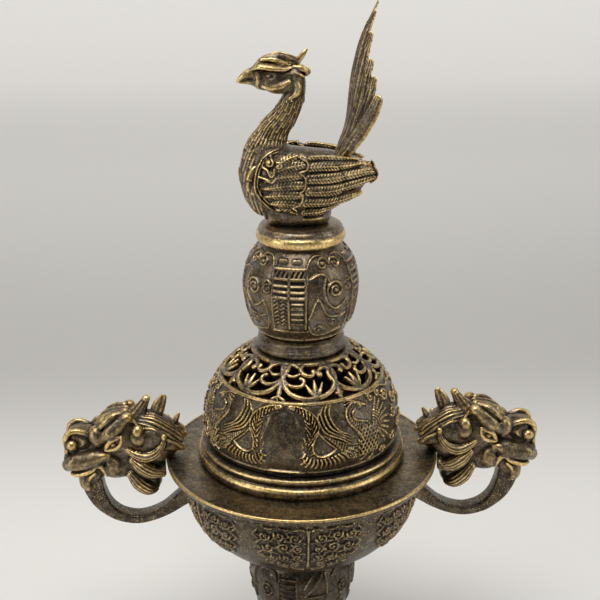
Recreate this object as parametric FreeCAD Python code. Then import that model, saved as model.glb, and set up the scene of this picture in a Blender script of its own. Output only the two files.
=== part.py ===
"""Cast bronze incense burner: a stemmed bowl with dragon-head handles, and a pierced dome lid under a peacock.

Millimetres, +Z up. The origin is the centre of the foot's underside. The handles lie along X, and the peacock
looks along -X. Every piece that comes apart on a bench is one file in parts/.
"""

import FreeCAD
import Part

import math
import os

V = FreeCAD.Vector

# Heights that divide the stack of castings
FOOT_TOP_Z = 30.0
COLLAR_TOP_Z = 36.0
KNOB_TOP_Z = 77.4
RIM_Z = 125.0  # top face of the bowl's flange, which the lid stands on
CROWN_Z = 176.0  # flat top of the dome
NECK_TOP_Z = 183.0
BALL_TOP_Z = 223.0
PEDESTAL_TOP_Z = 231.0

# Bowl, liner and lid, which share one mouth
WALL = 3.0
LID_WALL = 2.6
FLANGE_R = 60.0
FLANGE_T = 3.2
REBATE_R = 42.2
REBATE_DEPTH = 2.2
MOUTH_R = 39.5
LINER_GAP = 0.5
LINER_WALL = 1.4
LINER_DEPTH = 30.0
LID_SEAT_R = 44.4
SPIGOT_R = 36.0
SPIGOT_DEPTH = 3.0
SPIGOT_WALL = 2.0
VENT_CELLS = 8

# Foot
FOOT_R = 44.0
FOOT_PLATE_T = 4.0

# Handles: a square strap with a screwed boss
ARM_W = 8.0
ARM_CHAMFER = 1.1
BOSS_R = 5.2
BOSS_X = 51.2  # where the boss's axis meets the bowl's wall
BOSS_Z = 104.5

# Fasteners: M6 bolts with pan heads, M6 nut and washers, M4 cheese-head screws
BOLT_R = 3.0
BOLT_HOLE_R = 3.3
THREAD_GAP = 0.05
BOLT_HEAD_R = 6.0
BOLT_HEAD_H = 3.6
NUT_ACROSS_FLATS = 10.0
NUT_T = 5.0
WASHER_R = 6.0
WASHER_T = 1.6
SCREW_R = 2.0
SCREW_HEAD_R = 3.5
SCREW_HEAD_H = 2.6
SCREW_REACH = 4.0  # how far a handle screw runs into its boss

# Meridian outlines as (radius, height)
FOOT_OUTER = [(39.5, 10.0), (34.0, 12.6), (25.5, 18.0), (19.0, 24.0), (16.4, FOOT_TOP_Z)]
KNOB_OUTER = [
    (14.5, COLLAR_TOP_Z), (18.0, 43.0), (20.6, 49.0), (22.8, 56.0),
    (23.7, 63.0), (23.4, 70.0), (19.8, KNOB_TOP_Z),
]
BOWL_OUTER = [
    (20.0, KNOB_TOP_Z), (26.2, 79.6), (35.2, 84.5), (43.2, 91.5), (48.8, 100.2), (51.8, 111.0), (52.3, 121.8),
]
DOME_OUTER = [
    (40.8, 134.0), (42.2, 140.0), (42.3, 146.0), (40.9, 153.0),
    (37.2, 161.0), (31.4, 168.0), (24.6, 173.2), (19.4, CROWN_Z),
]
BALL_OUTER = [
    (15.6, NECK_TOP_Z), (18.9, 186.0), (21.6, 191.0), (23.6, 201.0),
    (23.5, 208.0), (21.2, 216.0), (16.0, BALL_TOP_Z),
]

# Middle line of the right handle's strap as (x, z), and its thickness there
ARM_LINE = [
    (53.5, 103.0), (61.0, 97.6), (68.0, 94.4), (75.5, 93.6),
    (83.5, 96.2), (90.0, 101.4), (94.4, 108.0), (95.6, 113.0),
]
ARM_THICKNESS = [7.4, 5.2, 4.2, 4.0, 4.4, 5.4, 7.0, 7.8]

# Oval sections as (x, z, half height, half width), in the plane of the handles
HEAD_STATIONS = [
    (55.0, 134.5, 4.0, 3.5), (60.0, 134.5, 8.0, 8.5), (67.0, 133.0, 13.0, 11.0), (75.0, 130.5, 15.5, 12.0),
    (83.0, 129.0, 15.0, 11.6), (90.5, 126.0, 12.0, 10.2), (97.5, 120.6, 7.2, 8.4), (103.8, 119.4, 4.2, 5.6),
]
BELLY_STATIONS = [
    (-24.2, 250.5, 3.0, 3.0), (-21.0, 249.5, 11.0, 9.0), (-15.0, 247.8, 14.5, 13.2), (-6.0, 246.4, 15.2, 15.8),
    (4.0, 246.4, 14.8, 15.6), (13.0, 248.0, 12.4, 13.2), (21.0, 250.0, 8.8, 9.0), (27.0, 251.5, 4.2, 4.6),
]
NECK_STATIONS = [
    (-13.0, 252.0, 11.0, 10.6), (-13.2, 262.0, 8.6, 8.0), (-9.5, 270.0, 6.4, 6.0), (-4.8, 277.0, 4.9, 4.8),
    (-1.9, 283.0, 4.4, 4.3), (-2.4, 289.0, 4.3, 4.2),
]
BEAK_STATIONS = [(-17.0, 290.4, 3.4, 3.0), (-21.0, 290.2, 2.0, 1.8), (-24.6, 289.2, 0.7, 0.7)]

# Crest spikes of a dragon as base (x, z), tip (x, z) and base radius
CREST_SPIKES = [
    ((69.5, 144.0), (66.8, 153.0), 3.4), ((62.5, 140.5), (59.4, 153.6), 3.6), ((56.8, 136.5), (53.0, 143.8), 2.6),
]

# Level cuts through the fan tail as (height, x of the bowed middle, x of the edges, half width)
TAIL_T = 2.6
TAIL_SECTIONS = [
    (259.0, 13.0, 20.0, 5.0), (266.0, 15.8, 25.8, 7.6), (274.0, 18.2, 29.6, 11.0), (283.0, 19.2, 31.0, 13.2),
    (292.0, 20.1, 30.8, 13.0), (300.0, 21.6, 30.4, 10.8), (308.0, 24.2, 30.2, 7.4), (315.0, 27.4, 30.8, 3.8),
    (320.0, 30.2, 31.6, 1.6),
]


# Outlines and solids


def line(a, b):
    """A straight edge between two (radius, height) points."""
    return Part.makeLine(V(a[0], 0, a[1]), V(b[0], 0, b[1]))


def arc(a, through, b):
    return Part.Arc(V(a[0], 0, a[1]), V(through[0], 0, through[1]), V(b[0], 0, b[1])).toShape()


def spline(points):
    """A smooth curve through (radius, height) points."""
    out = Part.BSplineCurve()
    out.interpolate([V(r, 0, z) for r, z in points])
    return out


def curve(points):
    return spline(points).toShape()


def tangent_at(points, point):
    """The direction of travel along an outline at one of its points."""
    smooth = spline(points)
    return smooth.tangent(smooth.parameter(V(point[0], 0, point[1])))[0]


def inset(points, amount):
    """The outline moved inwards by a wall's thickness, square to the curve, where it climbs from first to last."""
    out = []
    for point in points:
        tangent = tangent_at(points, point)
        out.append((point[0] - amount * tangent.z, point[1] + amount * tangent.x))
    return out


def radius_at(points, z):
    """The radius of an outline at a height."""
    level = Part.makeLine(V(0, 0, z), V(FLANGE_R, 0, z))
    return curve(points).distToShape(level)[1][0][0].x


def turned(edges):
    """The solid that a closed outline sweeps about Z."""
    solid = Part.Face(Part.Wire(edges)).revolve(V(0, 0, 0), V(0, 0, 1), 360)
    if solid.Volume < 0:
        solid.reverse()
    return solid


def turned_ring(outside, bore):
    """A turned solid with a straight bore, from the edges of its outside, given from the bottom up."""
    low = outside[0].valueAt(outside[0].FirstParameter)
    high = outside[-1].valueAt(outside[-1].LastParameter)
    closing = [
        line((high.x, high.z), (bore, high.z)),
        line((bore, high.z), (bore, low.z)),
        line((bore, low.z), (low.x, low.z)),
    ]
    return turned(outside + closing)


def disc(radius, z0, z1):
    return Part.makeCylinder(radius, z1 - z0, V(0, 0, z0))


def rod_outwards(radius, x0, x1):
    """A rod along the right handle's screw axis."""
    return Part.makeCylinder(radius, x1 - x0, V(x0, 0, BOSS_Z), V(1, 0, 0))


def ellipsoid(centre, semi):
    matrix = FreeCAD.Matrix()
    matrix.scale(V(*semi))
    shape = Part.makeSphere(1.0).transformGeometry(matrix)
    shape.translate(V(*centre))
    return shape


def oval(centre, along, half_height, half_width):
    """An elliptical section square to a direction in the XZ plane; its width lies along Y."""
    normal = V(along[0], 0, along[1])
    normal.normalize()
    up = V(0, 1, 0).cross(normal)
    tall = half_height >= half_width
    major, minor = (up, V(0, 1, 0)) if tall else (V(0, 1, 0), -up)
    edge = Part.Ellipse(V(0, 0, 0), max(half_height, half_width), min(half_height, half_width)).toShape()
    edge.transformShape(FreeCAD.Matrix(
        major.x, minor.x, normal.x, centre[0],
        major.y, minor.y, normal.y, 0,
        major.z, minor.z, normal.z, centre[1],
        0, 0, 0, 1,
    ))
    return Part.Wire(edge)


def direction_along(points, i):
    """The direction of travel at a point of a path, from its neighbours."""
    before = points[max(i - 1, 0)]
    after = points[min(i + 1, len(points) - 1)]
    return after[0] - before[0], after[1] - before[1]


def lofted(stations):
    """A smooth solid through oval sections."""
    wires = []
    for i, (x, z, half_height, half_width) in enumerate(stations):
        wires.append(oval((x, z), direction_along(stations, i), half_height, half_width))
    return Part.makeLoft(wires, True, False)


def union(shapes):
    return shapes[0].multiFuse(shapes[1:]).removeSplitter()


def mirrored(shape):
    return shape.mirror(V(0, 0, 0), V(1, 0, 0))


def hollow_ball(outline, wall):
    """A turned hollow body with a flat bored plate at each end."""
    low, high = outline[0][1], outline[-1][1]
    body = turned_ring([curve(outline)], BOLT_HOLE_R)
    inside = inset(outline[1:-1], wall)
    plate_edge = 1.0
    low_r, high_r = inside[0][0] - plate_edge, inside[-1][0] - plate_edge
    cavity = turned([
        line((0, low + wall), (low_r, low + wall)),
        line((low_r, low + wall), inside[0]),
        curve(inside),
        line(inside[-1], (high_r, high - wall)),
        line((high_r, high - wall), (0, high - wall)),
        line((0, high - wall), (0, low + wall)),
    ])
    return body.cut(cavity)


# Foot and stem


def foot():
    """Trumpet foot, hollow underneath, with a stepped rim."""
    step_r, lip_r, bead_z = FOOT_R - 2.4, FOOT_R - 4.5, 4.0
    ceiling = FOOT_TOP_Z - FOOT_PLATE_T
    inside = inset(FOOT_OUTER[:-1], WALL)
    throat = inside[-1][0] - 1.5
    return turned([
        line((lip_r, 0), (FOOT_R, 0)),
        line((FOOT_R, 0), (FOOT_R, bead_z)),
        arc((FOOT_R, bead_z), (FOOT_R - 0.8, 5.6), (step_r, 6.2)),
        line((step_r, 6.2), (step_r, 8.2)),
        arc((step_r, 8.2), (FOOT_R - 3.0, 9.5), FOOT_OUTER[0]),
        curve(FOOT_OUTER),
        line(FOOT_OUTER[-1], (BOLT_HOLE_R, FOOT_TOP_Z)),
        line((BOLT_HOLE_R, FOOT_TOP_Z), (BOLT_HOLE_R, ceiling)),
        line((BOLT_HOLE_R, ceiling), (throat, ceiling)),
        line((throat, ceiling), inside[-1]),
        curve(list(reversed(inside))),
        line(inside[0], (lip_r, 0)),
    ])


def stem_collar():
    """Ring moulding between foot and knob: a bold round with a softer one above it."""
    middle = FOOT_TOP_Z + 3.5
    return turned_ring([
        arc((16.6, FOOT_TOP_Z), (18.4, FOOT_TOP_Z + 1.75), (16.6, middle)),
        arc((16.6, middle), (17.4, middle + 1.25), (15.4, COLLAR_TOP_Z)),
    ], BOLT_HOLE_R)


def stem_knob():
    return hollow_ball(KNOB_OUTER, WALL)


# Bowl and liner
BOWL_INNER = inset(BOWL_OUTER[1:], WALL)
BOWL_FLOOR_Z = KNOB_TOP_Z + 4.5
SCREW_SEAT_X = radius_at(BOWL_INNER, BOSS_Z)


def bowl():
    """The bowl and its broad flange in one casting. The rebate in its mouth carries the liner."""
    under = RIM_Z - FLANGE_T
    edge_r = FLANGE_R - 1.6
    rebate_z = RIM_Z - REBATE_DEPTH
    lip_z = under - 2.0
    inside = BOWL_INNER[:-1]
    shoulder = (BOWL_INNER[-1][0], lip_z - 5.0)
    floor_r = inside[0][0] - 2.0
    body = turned([
        line((BOLT_HOLE_R, KNOB_TOP_Z), BOWL_OUTER[0]),
        curve(BOWL_OUTER),
        line(BOWL_OUTER[-1], (edge_r, under)),
        arc((edge_r, under), (FLANGE_R, RIM_Z - FLANGE_T / 2), (edge_r, RIM_Z)),
        line((edge_r, RIM_Z), (REBATE_R, RIM_Z)),
        line((REBATE_R, RIM_Z), (REBATE_R, rebate_z)),
        line((REBATE_R, rebate_z), (MOUTH_R, rebate_z)),
        line((MOUTH_R, rebate_z), (MOUTH_R, lip_z)),
        line((MOUTH_R, lip_z), shoulder),
        line(shoulder, inside[-1]),
        curve(list(reversed(inside))),
        line(inside[0], (floor_r, BOWL_FLOOR_Z)),
        line((floor_r, BOWL_FLOOR_Z), (BOLT_HOLE_R, BOWL_FLOOR_Z)),
        line((BOLT_HOLE_R, BOWL_FLOOR_Z), (BOLT_HOLE_R, KNOB_TOP_Z)),
    ])
    through = rod_outwards(SCREW_R + 0.2, SCREW_SEAT_X - 1.0, BOSS_X + SCREW_REACH)
    spot_face = rod_outwards(SCREW_HEAD_R + 0.4, SCREW_SEAT_X - SCREW_HEAD_H - 3.0, SCREW_SEAT_X)
    fixing = through.fuse(spot_face)
    return body.cut(fixing).cut(mirrored(fixing))


def bowl_envelope():
    """Everything inside the bowl's outer surface, for trimming what is fixed to its wall."""
    top = BOWL_OUTER[-1]
    return turned([
        line((0, KNOB_TOP_Z), BOWL_OUTER[0]),
        curve(BOWL_OUTER),
        line(top, (0, top[1])),
        line((0, top[1]), (0, KNOB_TOP_Z)),
    ])


def ash_liner():
    """Removable ash cup that hangs by its lip in the mouth of the bowl."""
    lip_z = RIM_Z - REBATE_DEPTH
    lip_top = RIM_Z - 0.6
    lip_r = REBATE_R - LINER_GAP
    top_r = MOUTH_R - 1.0
    low = lip_z - LINER_DEPTH
    outside = [(top_r - 13.5, low), (top_r - 6.2, low + 4.0), (top_r - 1.6, low + 15.0), (top_r, lip_z)]
    inside = inset(outside, LINER_WALL)
    floor_z = inside[0][1]
    return turned([
        line((0, low), outside[0]),
        curve(outside),
        line(outside[-1], (lip_r, lip_z)),
        line((lip_r, lip_z), (lip_r, lip_top)),
        line((lip_r, lip_top), (inside[-1][0], lip_top)),
        line((inside[-1][0], lip_top), inside[-1]),
        curve(list(reversed(inside))),
        line(inside[0], (0, floor_z)),
        line((0, floor_z), (0, low)),
    ])


# Handles. The right one is modelled, and the left one is its mirror image.


def right_handle_arm():
    """Flat strap, square in section, that leaves the bowl below the flange and ends in the dragon's mouth."""
    sections = []
    for i, ((x, z), thickness) in enumerate(zip(ARM_LINE, ARM_THICKNESS)):
        along = V(direction_along(ARM_LINE, i)[0], 0, direction_along(ARM_LINE, i)[1])
        along.normalize()
        across = V(-along.z, 0, along.x)
        t, w = thickness / 2, ARM_W / 2
        c = ARM_CHAMFER
        near_half = [(t, w - c), (t, c - w), (t - c, -w), (c - t, -w)]
        corners = near_half + [(-a, -b) for a, b in near_half]
        ring = [V(x, 0, z) + across * a + V(0, b, 0) for a, b in corners]
        sections.append(Part.makePolygon(ring + [ring[0]]))
    strap = Part.makeLoft(sections, True, False)
    boss = rod_outwards(BOSS_R, BOSS_X - 3.0, BOSS_X + 3.5)
    thread = rod_outwards(SCREW_R + THREAD_GAP, BOSS_X - 3.0, BOSS_X + SCREW_REACH)
    return union([strap, boss]).cut(bowl_envelope()).cut(thread)


def right_dragon_head(arm):
    """Dragon head looking outwards, jaws closed on the arm's end, mane reaching back over the flange."""
    parts = [
        lofted(HEAD_STATIONS),
        ellipsoid((70.0, 0, 114.0), (7.2, 8.2, 8.0)),  # beard
        ellipsoid((82.0, 0, 117.5), (8.5, 8.6, 5.6)),  # jaw
        ellipsoid((91.5, 0, 112.8), (4.6, 4.6, 3.6)),  # chin
        ellipsoid((99.6, 0, 125.5), (4.0, 5.0, 6.0)),  # bridge of the nose
    ]
    for side in (1, -1):
        parts.append(Part.makeSphere(3.9, V(101.2, side * 3.4, 130.2)))  # nostril curl
        parts.append(Part.makeSphere(3.4, V(93.0, side * 5.6, 134.0)))  # brow
        parts.append(Part.makeSphere(3.0, V(76.5, side * 10.8, 131.5)))  # ear bud
    for (x0, z0), (x1, z1), radius in CREST_SPIKES:
        along = V(x1 - x0, 0, z1 - z0)
        parts.append(Part.makeCone(radius, 0.9, along.Length, V(x0, 0, z0), along))
    over_flange = disc(FLANGE_R + 0.4, RIM_Z - FLANGE_T - 0.4, RIM_Z + 0.1)
    return union(parts).cut(over_flange).cut(arm)


def right_handle_screw():
    """Slotted screw from inside the bowl into the arm's boss."""
    head_x = SCREW_SEAT_X - SCREW_HEAD_H
    shank = rod_outwards(SCREW_R, head_x, BOSS_X + SCREW_REACH - 0.4)
    slot = Part.makeBox(1.0, 3 * SCREW_HEAD_R, 0.9, V(head_x, -1.5 * SCREW_HEAD_R, BOSS_Z - 0.45))
    return shank.fuse(rod_outwards(SCREW_HEAD_R, head_x, SCREW_SEAT_X)).cut(slot)


# Tie bolts


def tie_bolt(tip_z, head_z):
    """Slotted bolt along the axis, with its head beyond head_z and its tip at tip_z."""
    shank = disc(BOLT_R, -abs(head_z - tip_z), 0)
    head = disc(BOLT_HEAD_R, 0, BOLT_HEAD_H)
    top_edge = [edge for edge in head.Edges if edge.BoundBox.ZMin > BOLT_HEAD_H - 0.1]
    head = head.makeFillet(1.2, top_edge)
    slot = Part.makeBox(3 * BOLT_HEAD_R, 1.6, 1.6, V(-1.5 * BOLT_HEAD_R, -0.8, BOLT_HEAD_H - 1.4))
    bolt = shank.fuse(head).cut(slot)
    if tip_z > head_z:
        bolt.rotate(V(0, 0, 0), V(1, 0, 0), 180)
    bolt.translate(V(0, 0, head_z))
    return bolt


def washer(z0):
    return disc(WASHER_R, z0, z0 + WASHER_T).cut(disc(BOLT_HOLE_R, z0, z0 + WASHER_T))


def nut(z0):
    corner_r = NUT_ACROSS_FLATS / 2 / math.cos(math.pi / 6)
    turns = [i * math.pi / 3 for i in range(6)]
    corners = [V(corner_r * math.cos(turn), corner_r * math.sin(turn), z0) for turn in turns]
    block = Part.Face(Part.makePolygon(corners + [corners[0]])).extrude(V(0, 0, NUT_T))
    return block.cut(disc(BOLT_R + THREAD_GAP, z0, z0 + NUT_T))


# Lid
CROWN_UNDER_Z = CROWN_Z - WALL


def vent(angle, middle, across, half_width, half_height):
    """An almond-shaped prism that cuts one vent through the dome, with its points up and down the slope."""
    tangent = tangent_at(DOME_OUTER, middle)
    slope = V(tangent.x, 0, tangent.z)
    outwards = V(slope.z, 0, -slope.x)
    centre = V(middle[0], across, middle[1]) + outwards * 3.0
    low, high = centre - slope * half_height, centre + slope * half_height
    right, left = centre + V(0, half_width, 0), centre - V(0, half_width, 0)
    outline = Part.Wire([Part.Arc(low, right, high).toShape(), Part.Arc(high, left, low).toShape()])
    prism = Part.Face(outline).extrude(outwards * -9.0)
    prism.rotate(V(0, 0, 0), V(0, 0, 1), angle)
    return prism


def vents():
    """The scrollwork's openings: in each cell two large almonds, and small ones between the cells."""
    middle, upper = DOME_OUTER[5], DOME_OUTER[6]
    lower = (radius_at(DOME_OUTER, 164.8), 164.8)
    prisms = []
    for i in range(VENT_CELLS):
        angle = 360.0 / VENT_CELLS * i
        between = angle + 180.0 / VENT_CELLS
        for side in (1, -1):
            prisms.append(vent(angle, middle, side * 4.2, 2.9, 5.6))
            prisms.append(vent(between, lower, side * 2.6, 1.4, 2.4))
        prisms.append(vent(between, upper, 0, 2.2, 3.0))
    return prisms


def lid_dome():
    """Pierced dome on a double moulding that stands on the flange; a spigot inside the mouth keeps it centred."""
    inside = inset(DOME_OUTER[1:-1], LID_WALL)
    inner_r = SPIGOT_R - SPIGOT_WALL
    low = RIM_Z - SPIGOT_DEPTH
    crown_r = inside[-1][0] - 5.0
    dome = turned([
        line((inner_r, low), (SPIGOT_R, low)),
        line((SPIGOT_R, low), (SPIGOT_R, RIM_Z)),
        line((SPIGOT_R, RIM_Z), (LID_SEAT_R, RIM_Z)),
        arc((LID_SEAT_R, RIM_Z), (45.6, RIM_Z + 2.6), (LID_SEAT_R - 0.6, RIM_Z + 5.2)),
        line((LID_SEAT_R - 0.6, RIM_Z + 5.2), (43.0, RIM_Z + 6.2)),
        arc((43.0, RIM_Z + 6.2), (44.3, RIM_Z + 7.5), (43.2, RIM_Z + 8.7)),
        line((43.2, RIM_Z + 8.7), DOME_OUTER[0]),
        curve(DOME_OUTER),
        line(DOME_OUTER[-1], (BOLT_HOLE_R, CROWN_Z)),
        line((BOLT_HOLE_R, CROWN_Z), (BOLT_HOLE_R, CROWN_UNDER_Z)),
        line((BOLT_HOLE_R, CROWN_UNDER_Z), (crown_r, CROWN_UNDER_Z)),
        line((crown_r, CROWN_UNDER_Z), inside[-1]),
        curve(list(reversed(inside))),
        line(inside[0], (inner_r, RIM_Z + 6.0)),
        line((inner_r, RIM_Z + 6.0), (inner_r, low)),
    ])
    return dome.cut(vents())


def neck_ring():
    """Plain ring between dome and ball, fuller at its foot."""
    middle = (18.5, CROWN_Z + 3.6)
    return turned_ring([
        arc((17.4, CROWN_Z), (19.2, CROWN_Z + 1.6), middle),
        arc(middle, (18.3, CROWN_Z + 5.6), (17.0, NECK_TOP_Z)),
    ], BOLT_HOLE_R)


def lid_ball():
    return hollow_ball(BALL_OUTER, LID_WALL)


def finial_pedestal():
    """Base of the finial: a bold ring with a softer cushion above it, tapped for the lid's bolt."""
    waist = (17.2, BALL_TOP_Z + 4.4)
    return turned_ring([
        arc((16.4, BALL_TOP_Z), (18.5, BALL_TOP_Z + 2.3), waist),
        arc(waist, (17.7, BALL_TOP_Z + 6.0), (15.2, PEDESTAL_TOP_Z)),
    ], BOLT_R + THREAD_GAP)


# Peacock
LID_BOLT_TIP_Z = PEDESTAL_TOP_Z + 7.0


def peacock_tail():
    """Raised fan tail: a cupped plate that bows towards the bird's head, brazed into its rump."""
    lip = 0.9
    sections = []
    for z, middle_x, side_x, half_width in TAIL_SECTIONS:
        edge, back_edge = V(side_x, half_width, z), V(side_x + lip, half_width - lip, z)
        far_edge, far_back = V(side_x, -half_width, z), V(side_x + lip, lip - half_width, z)
        thickness = min(TAIL_T, 0.9 * (side_x - middle_x) + 0.6)
        sections.append(Part.Wire([
            Part.Arc(far_edge, V(middle_x, 0, z), edge).toShape(),
            Part.makeLine(edge, back_edge),
            Part.Arc(back_edge, V(middle_x + thickness, 0, z), far_back).toShape(),
            Part.makeLine(far_back, far_edge),
        ]))
    return Part.makeLoft(sections, True, False)


def peacock_body(tail):
    """Standing peacock without its raised tail: belly, neck, crested head and folded wings."""
    parts = [
        lofted(BELLY_STATIONS),
        lofted(NECK_STATIONS),
        lofted(BEAK_STATIONS),
        ellipsoid((-8.6, 0, 290.6), (8.8, 5.2, 5.0)),  # skull
        ellipsoid((-8.6, 0, 296.4), (9.6, 2.6, 2.8)),  # crest
        ellipsoid((-14.0, 0, 294.6), (5.4, 3.0, 1.7)),  # forehead
        Part.makeCone(1.6, 0.6, 6.2, V(-1.0, 0, 296.0), V(0.55, 0, 1)),  # hind plume
        Part.makeCone(14.2, 15.0, 8.0, V(-0.5, 0, PEDESTAL_TOP_Z)),  # legs
    ]
    for side in (1, -1):
        parts.append(ellipsoid((2.0, side * 9.5, 248.5), (21.0, 7.2, 10.0)))  # wing
        parts.append(ellipsoid((22.5, side * 4.6, 251.5), (9.0, 2.8, 3.6)))  # wing tip
    below = disc(FLANGE_R, 0, PEDESTAL_TOP_Z)
    socket = disc(BOLT_R + THREAD_GAP, PEDESTAL_TOP_Z, LID_BOLT_TIP_Z + 1.0)
    return union(parts).cut(below).cut(socket).cut(tail)


def build():
    """Every node by name."""
    foot_ceiling = FOOT_TOP_Z - FOOT_PLATE_T
    nut_z = foot_ceiling - WASHER_T - NUT_T
    arm = right_handle_arm()
    head = right_dragon_head(arm)
    screw = right_handle_screw()
    tail = peacock_tail()
    return {
        "foot": foot(),
        "stem_collar": stem_collar(),
        "stem_knob": stem_knob(),
        "bowl": bowl(),
        "right_handle_arm": arm,
        "left_handle_arm": mirrored(arm),
        "right_dragon_head": head,
        "left_dragon_head": mirrored(head),
        "right_handle_screw": screw,
        "left_handle_screw": mirrored(screw),
        "stem_bolt": tie_bolt(nut_z - 3.0, BOWL_FLOOR_Z),
        "stem_washer": washer(foot_ceiling - WASHER_T),
        "stem_nut": nut(nut_z),
        "ash_liner": ash_liner(),
        "lid_dome": lid_dome(),
        "neck_ring": neck_ring(),
        "lid_ball": lid_ball(),
        "finial_pedestal": finial_pedestal(),
        "peacock_body": peacock_body(tail),
        "peacock_tail": tail,
        "lid_bolt": tie_bolt(LID_BOLT_TIP_Z, CROWN_UNDER_Z - WASHER_T),
        "lid_washer": washer(CROWN_UNDER_Z - WASHER_T),
    }


os.makedirs("parts", exist_ok=True)
for name, shape in build().items():
    if not shape.isValid() or shape.Volume <= 0:
        print("faulty", name)
    shape.exportStep(f"parts/{name}.step")
    print(name, len(shape.Solids), "solid", round(shape.Volume / 1000, 2), "cm3")
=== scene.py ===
"""The incense burner's looks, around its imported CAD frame. Lengths are millimetres until a mesh is made."""

import math

import bpy
import numpy as np
import openvdb as vdb
from mathutils import Matrix, Vector


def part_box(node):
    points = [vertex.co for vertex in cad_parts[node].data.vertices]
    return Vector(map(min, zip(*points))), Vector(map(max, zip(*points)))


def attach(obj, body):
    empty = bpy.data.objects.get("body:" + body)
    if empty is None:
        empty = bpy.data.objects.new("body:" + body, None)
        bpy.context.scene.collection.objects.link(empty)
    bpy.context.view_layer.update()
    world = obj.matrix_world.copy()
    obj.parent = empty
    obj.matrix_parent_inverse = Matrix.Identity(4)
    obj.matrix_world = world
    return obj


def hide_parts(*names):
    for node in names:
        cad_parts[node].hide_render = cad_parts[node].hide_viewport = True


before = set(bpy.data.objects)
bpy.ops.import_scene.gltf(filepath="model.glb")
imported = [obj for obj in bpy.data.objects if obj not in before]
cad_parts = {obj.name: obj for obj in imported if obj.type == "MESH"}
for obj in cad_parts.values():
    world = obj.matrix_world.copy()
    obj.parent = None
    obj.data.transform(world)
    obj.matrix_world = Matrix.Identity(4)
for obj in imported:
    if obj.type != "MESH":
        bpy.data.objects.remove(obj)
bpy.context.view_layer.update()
MM = 0.001
TAU = 2 * math.pi


def top_of(node):
    """The height of a CAD node's top, in millimetres."""
    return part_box(node)[1].z / MM


FOOT_TOP = top_of("foot")
COLLAR_TOP = top_of("stem_collar")
KNOB_TOP = top_of("stem_knob")
RIM = top_of("bowl")
CROWN = top_of("lid_dome")
NECK_TOP = top_of("neck_ring")
BALL_TOP = top_of("lid_ball")
PEDESTAL_TOP = top_of("finial_pedestal")
FLANGE_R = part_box("bowl")[1].x / MM
FOOT_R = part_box("foot")[1].x / MM
WALL, LID_WALL, LINER_WALL, FLANGE_T = 3.0, 2.6, 1.4, 3.2
BOLT_HOLE_R, LID_BOLT_HOLE_R = 3.3, 3.05
MOUTH_R, REBATE_R, REBATE_DEPTH = 39.5, 42.2, 2.2
SPIGOT_R, SPIGOT_BORE, SPIGOT_DEPTH, LID_SEAT_R = 36.0, 34.0, 3.0, 44.4
FRONT_TURN = 2.5  # degrees the ornament is turned from the front


# Camera, light and floor


def make_camera():
    """At the photograph's viewing angle: a little left of the handles' normal, looking down at the bowl."""
    azimuth, pitch, roll = math.radians(-2.5), math.radians(20.31), math.radians(-0.22)
    distance, height, aside = 437.85, 233.24, 0.379
    focal_px, frame_px = 1100.0, 600.0
    data = bpy.data.cameras.new("camera")
    data.sensor_width = 36.0
    data.lens = 36.0 * focal_px / frame_px
    camera = bpy.data.objects.new("camera", data)
    bpy.context.scene.collection.objects.link(camera)
    turn = Matrix.Rotation(azimuth, 4, "Z")
    place = turn @ Vector((-aside, -distance, 0)) + Vector((0, 0, RIM + height))
    tilt = Matrix.Rotation(math.pi / 2 - pitch, 4, "X") @ Matrix.Rotation(roll, 4, "Z")
    camera.matrix_world = Matrix.Translation(place * MM) @ turn @ tilt
    bpy.context.scene.camera = camera
    bpy.context.scene.view_settings.view_transform = "Standard"


def make_light(name, place, size, watts, aim=(0, 0, RIM)):
    """A soft box in millimetres, aimed at the bowl unless told otherwise."""
    data = bpy.data.lights.new(name, "AREA")
    data.shape = "RECTANGLE"
    data.size, data.size_y = size[0] * MM, size[1] * MM
    data.energy = watts
    light = bpy.data.objects.new(name, data)
    bpy.context.scene.collection.objects.link(light)
    light.location = Vector(place) * MM
    light.rotation_mode = "QUATERNION"
    light.rotation_quaternion = (Vector(aim) * MM - light.location).to_track_quat("-Z", "Y")


def make_studio():
    """A pale floor that bends up far behind, and soft boxes overhead, aimed behind and at the sides."""
    world = bpy.data.worlds.new("studio")
    world.use_nodes = True
    world.node_tree.nodes["Background"].inputs["Color"].default_value = (0.84, 0.83, 0.80, 1)
    world.node_tree.nodes["Background"].inputs["Strength"].default_value = 0.16
    bpy.context.scene.world = world
    make_light("overhead", (-150, -350, 1250), (900, 600), 9.0)
    make_light("on_paper", (0, 120, 900), (1600, 200), 2.4, aim=(0, 430, 260))
    make_light("left", (-1000, -500, 450), (500, 800), 3.0)
    make_light("right", (1000, -350, 500), (500, 800), 2.5)

    steps, half_width, wall, bend = 24, 6000.0, 2500.0, 700.0
    profile = [(-3000.0, 0.0), (wall - bend, 0.0)]
    for i in range(1, steps + 1):
        a = math.pi / 2 * i / steps
        profile.append((wall - bend + bend * math.sin(a), bend - bend * math.cos(a)))
    profile.append((wall, 3500.0))
    points = [(x, y, z) for y, z in profile for x in (-half_width, half_width)]
    faces = [(2 * i, 2 * i + 1, 2 * i + 3, 2 * i + 2) for i in range(len(profile) - 1)]
    paper = mesh_object("paper_sweep", np.array(points), faces)
    paper.data.materials.append(paper_material())


# Meshes


def mesh_object(name, points, faces, sharp_angle=None):
    """A smooth-shaded object from points in millimetres. Edges steeper than sharp_angle stay crisp."""
    mesh = bpy.data.meshes.new(name)
    mesh.from_pydata(np.asarray(points, float) * MM, [], faces)
    mesh.shade_smooth()
    if sharp_angle:
        mesh.set_sharp_from_angle(angle=math.radians(sharp_angle))
    mesh.update()
    item = bpy.data.objects.new(name, mesh)
    bpy.context.scene.collection.objects.link(item)
    return item


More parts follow.
